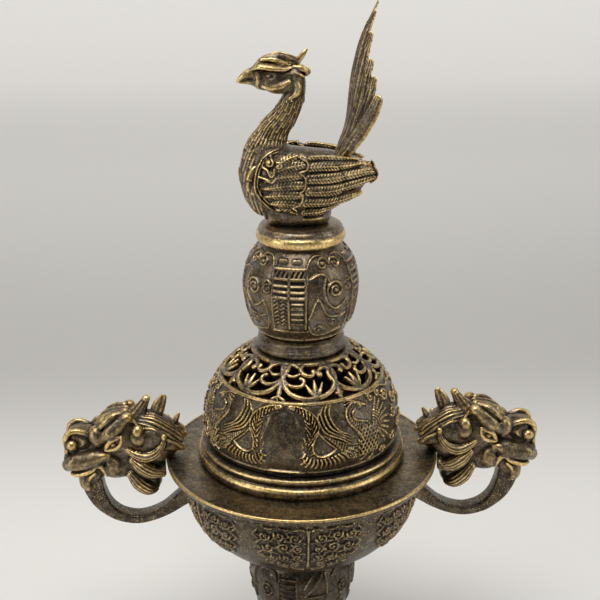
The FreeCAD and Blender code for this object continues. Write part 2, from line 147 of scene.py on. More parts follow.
def vectors(items, field):
    """A vector field of a mesh's vertices or normals, as an array."""
    out = np.zeros(len(items) * 3, np.float32)
    items.foreach_get(field, out)
    return out.reshape(-1, 3).astype(float)


def relaxed(co, edges, rounds):
    """Points after so many rounds of moving halfway to their neighbours' mean."""
    a, b = edges[:, 0], edges[:, 1]
    count = len(co)
    share = 0.5 / np.maximum(np.bincount(a, minlength=count) + np.bincount(b, minlength=count), 1)
    p = co.copy()
    for _ in range(rounds):
        for k in range(3):
            total = np.bincount(a, p[b, k], count) + np.bincount(b, p[a, k], count)
            p[:, k] = 0.5 * p[:, k] + share * total
    return p


def mark_wear_and_shade(item, rubbed):
    """Stores how far each point stands proud of what is near and wide around it, in millimetres.
    These drive the gold wear on what stands proud and the dark in the hollows, which is partly painted shade.

    rubbed(radius, height) may add to the near one where hands have polished a plain edge.
    """
    edges = np.zeros(len(item.data.edges) * 2, np.int32)
    item.data.edges.foreach_get("vertices", edges)
    edges = edges.reshape(-1, 2)
    co, out = vectors(item.data.vertices, "co") / MM, vectors(item.data.vertex_normals, "vector")
    spacing = np.median(np.linalg.norm(co[edges[:, 0]] - co[edges[:, 1]], axis=1))
    for name, reach in (("ridge", 0.8), ("stand", 4.0)):
        rounds = int(min(60, max(2, (reach / spacing) ** 2)))
        proud = ((co - relaxed(co, edges, rounds)) * out).sum(1)
        if name == "ridge" and rubbed:
            proud = proud + rubbed(np.hypot(co[:, 0], co[:, 1]), co[:, 2])
        layer = item.data.attributes.new(name, "FLOAT", "POINT")
        layer.data.foreach_set("value", proud.astype(np.float32))


def place(item, body, material, slot, *replaced, rubbed=None):
    """Finishes a piece: its marks for wear and painted shade, its material, and what it rides on and stands
    for.
    """
    mark_wear_and_shade(item, rubbed)
    item.data.materials.clear()
    item.data.materials.append(material)
    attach(item, body)
    if replaced:
        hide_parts(*replaced)


# Curves


def spline(points, step=None, count=None):
    """Points along a smooth curve through the given ones, evenly spaced."""
    pts = np.asarray(points, float)
    if len(pts) == 2:
        dense = pts
    else:
        padded = np.vstack([2 * pts[0] - pts[1], pts, 2 * pts[-1] - pts[-2]])
        dense = []
        for i in range(1, len(padded) - 2):
            p0, p1, p2, p3 = padded[i - 1:i + 3]
            t = np.linspace(0, 1, 24, endpoint=False)[:, None]
            dense.append(0.5 * (
                2 * p1 + (p2 - p0) * t + (2 * p0 - 5 * p1 + 4 * p2 - p3) * t**2
                + (3 * p1 - p0 - 3 * p2 + p3) * t**3
            ))
        dense = np.vstack(dense + [pts[-1:]])
    run = np.concatenate([[0], np.cumsum(np.linalg.norm(np.diff(dense, axis=0), axis=1))])
    if count is None:
        count = max(2, int(round(run[-1] / step)) + 1)
    even = np.linspace(0, run[-1], count)
    return np.stack([np.interp(even, run, dense[:, k]) for k in range(dense.shape[1])], axis=1)


def arc(centre, radius, start, end, step):
    """Points round a circle of a meridian, from one angle to another in degrees."""
    count = max(2, int(abs(math.radians(end - start)) * radius / step) + 1)
    a = np.radians(np.linspace(start, end, count))
    return np.stack([centre[0] + radius * np.cos(a), centre[1] + radius * np.sin(a)], axis=1)


# Turned pieces


def turned(name, runs):
    """A piece turned about Z from a closed meridian: runs of (radius, height) points with a column count.

    A run may also have relief(angles, s), the height raised on it at a distance s along it.
    """
    rows = []
    for points, columns, *shaped in runs:
        points = np.asarray(points, float)
        s = np.concatenate([[0], np.cumsum(np.linalg.norm(np.diff(points, axis=0), axis=1))])
        first = 1 if rows and np.linalg.norm(rows[-1][0] - points[0]) < 1e-6 else 0
        for i in range(first, len(points)):
            rows.append((points[i], columns, s[i], shaped[0] if shaped else None))
    if np.linalg.norm(rows[-1][0] - rows[0][0]) < 1e-6:
        rows.pop()
    loop = np.array([row[0] for row in rows])
    tangent = np.roll(loop, -1, axis=0) - np.roll(loop, 1, axis=0)
    tangent /= np.maximum(np.linalg.norm(tangent, axis=1, keepdims=True), 1e-9)
    points, starts, counts = [], [], []
    total = 0
    for (point, columns, s, shaped), ahead in zip(rows, tangent):
        n = 1 if point[0] < 1e-6 else columns
        angle = np.arange(n) * TAU / n
        raised = shaped(angle, s) if shaped else np.zeros(n)
        r, z = point[0] + ahead[1] * raised, point[1] - ahead[0] * raised
        points.append(np.stack([r * np.cos(angle), r * np.sin(angle), z], axis=1))
        starts.append(total)
        counts.append(n)
        total += n
    faces = []
    for i in range(len(rows)):
        j = (i + 1) % len(rows)
        faces += ring_faces(starts[i], counts[i], starts[j], counts[j])
    return mesh_object(name, np.vstack(points), faces, sharp_angle=38)


def ring_faces(a0, n, b0, m):
    """Faces between two rings. One may have a whole multiple of the other's points, or be one point."""
    if n == 1 and m == 1:
        return []
    if n == 1 or m == 1:
        count = max(n, m)
        k = np.arange(count)
        if n == 1:
            return np.stack([np.full(count, a0), b0 + (k + 1) % count, b0 + k], axis=1).tolist()
        return np.stack([a0 + k, a0 + (k + 1) % count, np.full(count, b0)], axis=1).tolist()
    if n == m:
        k = np.arange(n)
        return np.stack([a0 + k, a0 + (k + 1) % n, b0 + (k + 1) % n, b0 + k], axis=1).tolist()
    if max(n, m) % min(n, m):
        raise ValueError(f"rings of {n} and {m} points don't match")
    faces = []
    if n > m:
        share = n // m
        for k in range(m):
            fine = [a0 + (k * share + q) % n for q in range(share + 1)]
            faces.append(fine + [b0 + (k + 1) % m, b0 + k])
        return faces
    share = m // n
    for k in range(n):
        fine = [b0 + (k * share + q) % m for q in range(share, -1, -1)]
        faces.append([a0 + k, a0 + (k + 1) % n] + fine)
    return faces


# Drawing in relief


def near_line(line, axes, reach):
    """Each grid place's distance from a polyline, how far along, its offset and the line's direction."""
    dims, shape = len(axes), [len(axis) for axis in axes]
    distance = np.full(shape, reach * 1.001, np.float32)
    run = np.zeros(shape, np.float32)
    offset = np.zeros([dims] + shape, np.float32)
    course = np.zeros([dims] + shape, np.float32)
    travelled = 0.0
    for a, b in zip(line[:-1], line[1:]):
        length = np.linalg.norm(b - a)
        if length < 1e-6:
            continue
        ahead = (b - a) / length
        part, local = [], []
        for k, axis in enumerate(axes):
            low = np.searchsorted(axis, min(a[k], b[k]) - reach)
            high = np.searchsorted(axis, max(a[k], b[k]) + reach)
            part.append(slice(low, high))
            local.append((axis[low:high] - a[k]).reshape([-1 if j == k else 1 for j in range(dims)]))
        part = tuple(part)
        t = np.clip(sum(local[k] * ahead[k] for k in range(dims)), 0, length)
        away = np.stack(np.broadcast_arrays(*[local[k] - t * ahead[k] for k in range(dims)]))
        d = np.sqrt((away**2).sum(0))
        closer = d < distance[part]
        distance[part] = np.where(closer, d, distance[part])
        run[part] = np.where(closer, travelled + t, run[part])
        for k in range(dims):
            offset[(k,) + part] = np.where(closer, away[k], offset[(k,) + part])
            course[(k,) + part] = np.where(closer, ahead[k], course[(k,) + part])
        travelled += length
    return distance, run, offset, course, travelled


def along(values, share):
    """A value that may change along a stroke, at a share of its length."""
    values = np.atleast_1d(np.asarray(values, float))
    return np.interp(share, np.linspace(0, 1, len(values)), values)


# Shapes of strokes: a share of the full height, at -1 to 1 across and some way along


def round_bar(across, run):
    return np.sqrt(np.clip(1 - across**2, 0, 1))


def slab(across, run):
    return np.clip(1.25 * (1 - across**4), 0, 1)


def pan(across, run):
    return -np.clip(4 * (1 - np.abs(across)), 0, 1)


def furrow(across, run):
    return across**2 - 1


def barbed(pitch, slant):
    """A bar cut into slanting barbs either side of its middle."""
    def shape(across, run):
        comb = 0.5 + 0.5 * np.cos(TAU * (run / pitch + np.abs(across) * slant))
        return round_bar(across, run) * (0.30 + 0.70 * comb)
    return shape


class Relief:
    """Heights in millimetres over a drawing surface. Strokes are given as (degrees round, millimetres up)."""

    def __init__(self, low, high, to_plane, step=0.15, ground=0.0, wraps=False):
        self.low = np.array(low, float)
        self.count = np.ceil((np.array(high) - self.low) / step).astype(int)
        self.step = (np.array(high) - self.low) / self.count
        self.map = np.full(tuple(self.count), ground, np.float32)
        self.to_plane, self.wraps = to_plane, wraps
        self.copies = [(0.0, 1)]

    def repeat(self, times, start=0.0):
        """Draws later strokes so many times round."""
        self.copies = [(start + 360.0 / times * i, 1) for i in range(times)]

    def fold(self, times, axis):
        """Draws later strokes so many times round, each with its mirror image about the axis."""
        self.copies = [(axis + 360.0 / times * i, side) for i in range(times) for side in (1, -1)]

    def draw(self, line, width, height, shape, carve=False):
        """Raises or carves a stroke along a line that is already on the plane."""
        width_most = float(np.max(width))
        reach = width_most + float(self.step.max())
        first = np.floor((line.min(0) - reach - self.low) / self.step).astype(int)
        last = np.ceil((line.max(0) + reach - self.low) / self.step).astype(int) + 1
        index = [np.arange(first[k], last[k]) for k in range(2)]
        if not self.wraps:
            index[0] = index[0][(index[0] >= 0) & (index[0] < self.count[0])]
        index[1] = index[1][(index[1] >= 0) & (index[1] < self.count[1])]
        if not len(index[0]) or not len(index[1]):
            return
        axes = [self.low[k] + (index[k] + 0.5) * self.step[k] for k in range(2)]
        distance, run, offset, course, length = near_line(line, axes, reach)
        share = run / max(length, 1e-6)
        half = np.maximum(along(width, share), 1e-3)
        across = distance / half * np.sign(course[0] * offset[1] - course[1] * offset[0] + 1e-9)
        cells = np.ix_(index[0] % self.count[0], index[1])
        drawn = half - distance if shape is None else along(height, share) * shape(across, run)
        marked = distance < (reach if shape is None else half)
        before = self.map[cells]
        after = np.minimum(before, drawn) if carve else np.maximum(before, drawn)
        self.map[cells] = np.where(marked, after, before)

    def stroke(self, points, width, height=0.7, shape=round_bar, carve=False):
        """A bar along a curve, whose half width and height may change. No shape keeps the depth inside."""
        for origin, side in self.copies:
            moved = [(origin + side * p[0], p[1]) for p in points]
            self.draw(spline(self.to_plane(np.array(moved)), step=0.45), width, height, shape, carve)

    def curl(self, centre, radius, start, turns, width, height, bead=0.0):
        """A spiral from its outer end at an angle, in to a centre that may have a bead."""
        t = np.linspace(0, 1, max(8, int(14 * abs(turns))))
        angle = np.radians(start) + TAU * turns * t
        r = radius * (1 - 0.80 * t)
        for origin, side in self.copies:
            here = np.array([[origin + side * centre[0], centre[1]]])
            middle = self.to_plane(here)[0]
            aside = self.to_plane(here + [[0.5, 0]])[0] - middle
            aside *= side / np.linalg.norm(aside)
            up = self.to_plane(here + [[0, 0.5]])[0] - middle
            up /= np.linalg.norm(up)
            path = middle + np.outer(r * np.cos(angle), aside) + np.outer(r * np.sin(angle), up)
            self.draw(path, width, height, round_bar)
            if bead:
                dot = np.array([middle, middle + aside * 0.02])
                self.draw(dot, bead, height * 1.15, round_bar)

    def dot(self, centre, radius, height, shape=round_bar):
        self.stroke([centre, (centre[0] + 0.01, centre[1])], radius, height, shape)

    def at(self, x, y):
        """Heights at places on the plane."""
        places = []
        for k, value in enumerate((x, y)):
            f = (np.asarray(value, float) - self.low[k]) / self.step[k] - 0.5
            if k or not self.wraps:
                f = np.clip(f, 0, self.count[k] - 1.001)
            i = np.floor(f).astype(int)
            places.append((i, f - i))
        (i, a), (j, b) = places
        i0, i1 = i % self.count[0], (i + 1) % self.count[0]
        j1 = np.minimum(j + 1, self.count[1] - 1)
        m = self.map
        return (m[i0, j] * (1 - a) + m[i1, j] * a) * (1 - b) + (m[i0, j1] * (1 - a) + m[i1, j1] * a) * b

    def soften(self):
        for axis in (0, 1):
            near = [np.roll(self.map, s, axis) for s in (1, -1)]
            self.map = 0.5 * self.map + 0.25 * (near[0] + near[1])


def strip(radius, height, step=0.15):
    """A band right round a turned piece. Angles start at the front and run anticlockwise, seen from above."""
    per_degree = math.radians(radius)
    return Relief((0, 0), (360 * per_degree, height), lambda p: p * np.array([per_degree, 1.0]), step,
                  wraps=True)


def on_strip(relief, radius, fade, length=None):
    """The relief as heights for turned(), run out to nothing at the band's two ends."""
    def shaped(angle, s):
        high = relief.at((angle + math.pi / 2) * radius, s)
        ends = min(1.0, s / fade)
        if length:
            ends = min(ends, max(0.0, (length - s) / fade))
        return high * ends
    return shaped


# Modelling in clay


def smooth_min(a, b, blend):
    """The smaller of two distances, blended where they are close."""
    if blend <= 0:
        return np.minimum(a, b)
    h = np.clip(0.5 + 0.5 * (b - a) / blend, 0, 1)
    return b + (a - b) * h - blend * h * (1 - h)


FAR = 6.0  # the largest distance that clay keeps


class Clay:
    """Signed distances in millimetres on a grid, negative inside, built up by adding and carving forms."""

    def __init__(self, low, high, step=0.33):
        self.low, self.step = np.array(low, float), step
        self.shape = np.ceil((np.array(high) - self.low) / step).astype(int) + 1
        self.field = np.full(self.shape, FAR, np.float32)

    def window(self, low, high):
        """The part of the grid between two corners, and its places along each axis."""
        first = np.clip(np.floor((np.array(low) - self.low) / self.step).astype(int), 0, self.shape)
        last = np.clip(np.ceil((np.array(high) - self.low) / self.step).astype(int) + 1, 0, self.shape)
        part = tuple(slice(a, b) for a, b in zip(first, last))
        axes = [self.low[k] + self.step * np.arange(first[k], last[k]) for k in range(3)]
        return part, axes

    def join(self, part, distance, blend, carve=False):
        if carve:
            self.field[part] = -smooth_min(-self.field[part], distance, blend)
        else:
            self.field[part] = smooth_min(self.field[part], distance, blend)

    def rod(self, points, radii, blend, flat=1.0, across=(0, 1, 0), strands=0, groove=0.35, carve=False):
        """A rod along a smooth curve, flattened one way and combed in strands, and its mirror image."""
        sides = (1, -1) if any(abs(p[1]) > 0.01 for p in points) else (1,)
        for side in sides:
            line = spline([(p[0], side * p[1], p[2]) for p in points], step=0.9)
            reach = float(np.max(radii)) + blend + 1.2
            part, axes = self.window(line.min(0) - reach, line.max(0) + reach)
            if min(len(axis) for axis in axes) < 2:
                continue
            distance, run, q, course, length = near_line(line, axes, reach)
            share = run / max(length, 1e-6)
            r = along(radii, share)
            n = np.array(across, float) * (1, side, 1)
            n /= np.linalg.norm(n)
            high = sum(q[k] * n[k] for k in range(3))
            cross = [course[1] * n[2] - course[2] * n[1], course[2] * n[0] - course[0] * n[2],
                     course[0] * n[1] - course[1] * n[0]]
            wide = sum(q[k] * cross[k] for k in range(3)) / np.maximum(np.sqrt(sum(c * c for c in cross)), 1e-6)
            if flat != 1.0:
                rho = np.sqrt(np.maximum(distance**2 + high**2 * (1 / flat**2 - 1), 1e-9))
                slope = np.sqrt(np.maximum(distance**2 + high**2 * (1 / flat**4 - 1), 1e-9))
                d = (rho - r) * rho / slope
            else:
                d = distance - r
            if strands:
                phase = strands * (np.arcsin(np.clip(wide / r, -1, 1)) / math.pi + 0.5)
                d = d + groove * (1 - np.abs(np.sin(math.pi * phase))) * np.clip(r / 1.2, 0, 1)
            d = np.where(distance > reach, FAR, d)
            self.join(part, d, blend, carve)

    def ball(self, centre, radii, blend=0.8, tilt=0.0, carve=False):
        """An ellipsoid, tilted nose-up about the Y axis, and its mirror image."""
        radii = np.array(radii if np.ndim(radii) else [radii] * 3, float)
        c, s = math.cos(math.radians(tilt)), math.sin(math.radians(tilt))
        for side in ((1, -1) if abs(centre[1]) > 0.01 else (1,)):
            middle = np.array([centre[0], side * centre[1], centre[2]])
            reach = radii.max() + blend + 1.2
            part, axes = self.window(middle - reach, middle + reach)
            x, y, z = np.meshgrid(*[axes[k] - middle[k] for k in range(3)], indexing="ij")
            u, w = c * x + s * z, -s * x + c * z
            k0 = np.sqrt((u / radii[0])**2 + (y / radii[1])**2 + (w / radii[2])**2)
            k1 = np.sqrt((u / radii[0]**2)**2 + (y / radii[1]**2)**2 + (w / radii[2]**2)**2)
            self.join(part, k0 * (k0 - 1) / np.maximum(k1, 1e-6), blend, carve)

    def loft(self, stations, blend=0.0):
        """Oval sections stacked along X: (x, middle height, half height, half width)."""
        table = spline(stations, step=0.4)
        table = table[np.argsort(table[:, 0])]
        low = (table[0, 0] - 1, -table[:, 3].max() - 2, (table[:, 1] - table[:, 2]).min() - 2)
        high = (table[-1, 0] + 1, table[:, 3].max() + 2, (table[:, 1] + table[:, 2]).max() + 2)
        part, axes = self.window(low, high)
        x, y, z = np.meshgrid(*axes, indexing="ij")
        middle, tall, wide = [np.interp(x, table[:, 0], table[:, k]) for k in (1, 2, 3)]
        k0 = np.sqrt((y / wide)**2 + ((z - middle) / tall)**2)
        d = (k0 - 1) * np.minimum(wide, tall)
        d = np.maximum(d, np.maximum(table[0, 0] - x, x - table[-1, 0]))
        self.join(part, d, blend)

    def places(self):
        return np.meshgrid(*[self.low[k] + self.step * np.arange(self.shape[k]) for k in range(3)],
                           indexing="ij")

    def keep(self, distance):
        """Cuts away all that lies outside another field."""
        self.field = np.maximum(self.field, distance)

    def mesh(self, name, mirror_x=False):
        grid = vdb.FloatGrid(FAR)
        grid.copyFromArray(np.clip(self.field, -FAR, FAR).astype(np.float32))
        points, quads = grid.convertToQuads(isovalue=0.0)
        points = points * self.step + self.low
        if mirror_x:
            points = points * (-1, 1, 1)
            quads = quads[:, ::-1]
        return mesh_object(name, points, quads.tolist())


# Materials


class Graph:
    """A material's nodes, made and joined by short calls."""

    def __init__(self, name):
        self.material = bpy.data.materials.new(name)
        self.material.use_nodes = True
        self.tree = self.material.node_tree
        self.shader = self.tree.nodes["Principled BSDF"]

    def node(self, kind, inputs=None, **settings):
        made = self.tree.nodes.new("ShaderNode" + kind)
        for key, value in settings.items():
            setattr(made, key, value)
        for key, value in (inputs or {}).items():
            self.give(made.inputs[key], value)
        return made

    def give(self, socket, value):
        if isinstance(value, bpy.types.NodeSocket):
            self.tree.links.new(value, socket)
        else:
            socket.default_value = value

    def math(self, operation, a, b=0.0, c=0.0):
        made = self.node("Math", operation=operation)
        for socket, value in zip(made.inputs, (a, b, c)):
            self.give(socket, value)
        return made.outputs[0]

    def attribute(self, name):
        return self.node("Attribute", attribute_name=name).outputs["Fac"]

    def place(self):
        return self.node("TexCoord").outputs["Object"]

    def noise(self, size_mm, detail=4.0, roughness=0.55):
        """Noise with features of a size, from 0 to 1."""
        return self.node("TexNoise", {"Vector": self.place(), "Scale": 1 / (size_mm * MM), "Detail": detail,
                                      "Roughness": roughness}).outputs["Fac"]

    def spots(self, size_mm):
        """The distance to the nearest of scattered points that stand about a size apart."""
        return self.node("TexVoronoi", {"Vector": self.place(),
                                        "Scale": 1 / (size_mm * MM)}).outputs["Distance"]

    def ramp(self, value, low, high):
        """Runs smoothly from 0 at low to 1 at high."""
        ends = {"Value": value, "From Min": low, "From Max": high}
        return self.node("MapRange", ends, interpolation_type="SMOOTHSTEP").outputs["Result"]

    def mix(self, share, a, b):
        made = self.node("Mix", data_type="RGBA")
        self.give(made.inputs["Factor"], share)
        self.give(made.inputs["A"], (*a, 1) if isinstance(a, tuple) else a)
        self.give(made.inputs["B"], (*b, 1) if isinstance(b, tuple) else b)
        return made.outputs["Result"]

    def set(self, **sockets):
        for key, value in sockets.items():
            self.give(self.shader.inputs[key.replace("_", " ")], value)


def paper_material():
    """Off-white floor with painted shade that greys it a hand's breadth behind the burner, and a painted glow a
    little further off.
    """
    g = Graph("paper")
    axes = g.node("SeparateXYZ", {"Vector": g.place()}).outputs
    up_the_sweep = g.math("ADD", axes["Y"], axes["Z"])
    # Painted shade: the floor is painted grey from a hand's breadth behind the burner onwards
    near = g.mix(g.ramp(up_the_sweep, 0.10, 0.40), (0.82, 0.80, 0.765), (0.545, 0.53, 0.503))
    g.set(Base_Color=g.mix(g.ramp(up_the_sweep, 0.36, 0.80), near, (0.60, 0.585, 0.56)), Roughness=0.9)
    # The painted glow stands in for light: it keeps the far part from falling dark, and is brightest high up
    painted_glow = g.math("MULTIPLY_ADD", g.ramp(up_the_sweep, 0.9, 2.6), 0.29,
                  g.math("MULTIPLY", g.ramp(up_the_sweep, 0.30, 1.1), 0.24))
    g.set(Emission_Color=(1.0, 0.98, 0.945, 1.0), Emission_Strength=painted_glow)
    return g.material


def bronze(name, rub, gold_from, gold_to, speckle, tone, bulge=0.07):
    """Dark olive-brown patina over cast bronze, rubbed back to gold where the surface stands proud.

    rub is how bright the rubbed places get, and gold_from and gold_to the heights in millimetres between
    which they do. speckle is the strength of the gold flecks, tone the lightness of the ground, set per
    copy as painted light and shade, and bulge what broad forms add.
    """
    g = Graph(name)
    ridge, stand = g.attribute("ridge"), g.attribute("stand")
    patches, smudge, grain = g.noise(6.0, 3.0), g.noise(1.7, 4.0, 0.65), g.noise(0.45, 3.0, 0.7)

    # Gold on the ridges, smudged and broken, and in flecks on the plain ground
    height = g.math("ADD", ridge, g.math("MINIMUM", g.math("MULTIPLY", stand, 1.5 * bulge), bulge))
    height = g.math("MULTIPLY_ADD", g.math("SUBTRACT", grain, 0.5), 0.16, height)
    height = g.math("MULTIPLY_ADD", g.math("SUBTRACT", smudge, 0.5), 0.16, height)
    height = g.math("MULTIPLY_ADD", g.math("SUBTRACT", patches, 0.5), 0.10, height)
    worn = g.math("MULTIPLY", g.ramp(height, gold_from, gold_to), rub)
    fleck = g.ramp(g.spots(0.8), 0.30, 0.10)
    some = g.ramp(g.noise(1.3, 3.0, 0.7), 0.50, 0.62)
    fleck = g.math("MULTIPLY", g.math("MULTIPLY", fleck, some), speckle)
    dust = g.math("MULTIPLY", g.ramp(g.spots(0.6), 0.34, 0.18), g.ramp(g.noise(2.6, 4.0, 0.7), 0.40, 0.60))
    fleck = g.math("MAXIMUM", fleck, g.math("MULTIPLY", dust, 0.9 * speckle))
    # The hollows go near black: partly the patina's own dark, partly painted shade that stands in for occlusion
    hollow = g.ramp(g.math("MULTIPLY_ADD", stand, 0.25, ridge), 0.0, -0.20)
    fleck = g.math("MULTIPLY", fleck, g.math("SUBTRACT", 1.0, hollow))
    worn = g.math("MAXIMUM", worn, fleck)

    # Ground: dark and light brown in patches, olive smudges and grey bloom, near black in the hollows from the
    # patina and from painted shade
    shades = [tuple(tone * c for c in shade) for shade in
              ((0.044, 0.032, 0.023), (0.118, 0.086, 0.053), (0.22, 0.155, 0.078), (0.155, 0.140, 0.128))]
    brown = g.mix(g.ramp(patches, 0.35, 0.70), shades[0], shades[1])
    brown = g.mix(g.math("MULTIPLY", g.ramp(smudge, 0.48, 0.70), 0.65), brown, shades[2])
    brown = g.mix(g.math("MULTIPLY", g.ramp(g.noise(3.4, 4.0), 0.50, 0.68), 0.65), brown, shades[3])
    brown = g.mix(hollow, brown, (0.009, 0.006, 0.004))
    gold = g.mix(g.ramp(g.noise(1.2, 3.0), 0.35, 0.7), (0.60, 0.39, 0.13), (0.97, 0.74, 0.35))
    rough = g.math("MULTIPLY_ADD", smudge, 0.26, g.math("MULTIPLY_ADD", grain, 0.12, 0.11))
    bump = g.node("Bump", {"Height": g.math("MULTIPLY_ADD", smudge, 1.6, grain), "Distance": 0.00011,
                           "Strength": 0.6})
    g.set(Base_Color=g.mix(worn, brown, gold), Roughness=rough, Normal=bump.outputs["Normal"])
    g.set(Metallic=g.math("MULTIPLY_ADD", worn, 0.22, 0.76), Coat_Weight=0.20, Coat_Roughness=0.26)
    return g.material


def steel(name):
    """Plain grey steel for bolts, nut, washers and screws."""
    g = Graph(name)
    tone = g.mix(g.noise(0.8, 3.0), (0.30, 0.29, 0.26), (0.46, 0.45, 0.42))
    g.set(Base_Color=tone, Metallic=1.0, Roughness=g.math("MULTIPLY_ADD", g.noise(0.4), 0.2, 0.25))
    return g.material


def copper(name):
    """Dull copper, sooted in patches."""
    g = Graph(name)
    soot = g.ramp(g.noise(9.0, 5.0), 0.42, 0.62)
    tone = g.mix(soot, (0.26, 0.13, 0.07), (0.045, 0.032, 0.026))
    g.set(Base_Color=tone, Metallic=0.85, Roughness=g.math("MULTIPLY_ADD", soot, 0.25, 0.38))
    return g.material


# Base


def straight(a, b, step=1.0):
    """Points along a straight run, about a step apart."""
    count = max(2, int(math.dist(a, b) / step) + 1)
    return np.linspace(a, b, count)


def edges(columns, *corners):
    """Straight runs for turned() from corner to corner."""
    return [(straight(a, b), columns) for a, b in zip(corners, corners[1:])]


def inset(points, amount):
    """An outline moved inwards, for the inside of a wall."""
    pts = np.asarray(points, float)
    ahead = np.gradient(pts, axis=0)
    ahead /= np.linalg.norm(ahead, axis=1, keepdims=True)
    return pts - np.stack([ahead[:, 1], -ahead[:, 0]], axis=1) * amount


def length_of(points):
    """How long a line of points is."""
    return float(np.linalg.norm(np.diff(points, axis=0), axis=1).sum())


def foot_ornament(radius, length):
    """A ring of lotus petals hanging from the stem, over a band of scrolls above the foot's rim."""
    art = strip(radius, length)
    art.repeat(12, 15 + FRONT_TURN)
    petal = [(-13.5, 27.5), (-14.5, 22), (-12, 16.5), (-6, 12.8), (0, 10.6), (6, 12.8), (12, 16.5),
             (14.5, 22), (13.5, 27.5)]
    art.stroke(petal, 0.55, 0.85)
    art.stroke([(0.72 * x, 2.2 + 0.92 * y) for x, y in petal], 0.32, 0.5)
    art.stroke([(0, 24), (0, 16)], [0.5, 1.2, 0.3], 0.8)
    for side in (1, -1):
        art.stroke([(side * 5.5, 23), (side * 4.5, 19), (side * 1, 16)], [0.35, 0.6, 0.3], 0.55)
        art.stroke([(side * 15, 15.5), (side * 15, 12.5)], [0.9, 0.2], 0.6)
    art.fold(12, FRONT_TURN)
    art.curl((8, 5), 2.2, 200, 1.5, 0.42, 0.75, bead=0.6)
    art.stroke([(0, 2), (3, 3.4), (5.4, 5.2)], [0.5, 0.4], 0.75)
    art.stroke([(8, 7.4), (12, 8.2), (15, 6.6)], [0.4, 0.5, 0.25], 0.7)
    art.stroke([(10, 2.5), (13, 3.6), (15, 5.6)], [0.3, 0.5, 0.3], 0.7)
    art.soften()
    return art


def make_foot(material):
    """Trumpet foot with a beaded and stepped rim, hollow under a plate that the tie bolt goes through."""
    step_r, lip_r, bead, step, radius = FOOT_R - 2.4, FOOT_R - 4.5, 4.0, 8.2, 30.0
    outline = [(39.5, 10), (34, 12.6), (25.5, 18), (19, 24), (16.4, FOOT_TOP)]
    flare = spline(outline, step=0.4)
    inner = inset(spline(outline[:-1], step=1.2), WALL)[::-1]
    ceiling = FOOT_TOP - 4.0
    art = foot_ornament(radius, length_of(flare))
    item = turned("foot", [
        *edges(192, (lip_r, 0), (FOOT_R - 0.6, 0)),
        (arc((FOOT_R - 0.6, 0.6), 0.6, -90, 0, 0.2), 192),
        *edges(192, (FOOT_R, 0.6), (FOOT_R, bead)),
        (arc((FOOT_R - 2.4, bead - 0.2), 2.4, 5, 88, 0.4), 192),
        *edges(192, (step_r, bead + 2.2), (step_r, step)),
        (arc((FOOT_R - 4.3, step), 1.9, 0, 90, 0.4), 192),
        (flare, 576, on_strip(art, radius, 0.8, length_of(flare))),
        *edges(96, flare[-1], (BOLT_HOLE_R, FOOT_TOP), (BOLT_HOLE_R, ceiling), (inner[0][0] - 1.5, ceiling)),
        (inner, 96),
        *edges(192, inner[-1], (lip_r, 0)),
    ])
    place(item, "base", material, "patinated_bronze", "foot")


def make_ring(name, body, material, slot, bore, low, high, rounds, crest=None):
    """A ring of mouldings, each a curve of (radius, height above its foot), perhaps rubbed bright."""
    profile = np.vstack([spline([(r, low + z) for r, z in points], step=0.25) for points in rounds])
    profile[-1, 1] = high
    item = turned(name, [
        *edges(192, (bore, low), profile[0]),
        (profile, 192),
        *edges(192, profile[-1], (bore, high)),
        (straight((bore, high), (bore, low), 2.0), 192),
    ])

    def rubbed(r, z):
        return 0.16 * np.clip(2.4 - np.abs(z - low - crest), 0, 1)

    place(item, body, material, slot, name, rubbed=rubbed if crest else None)


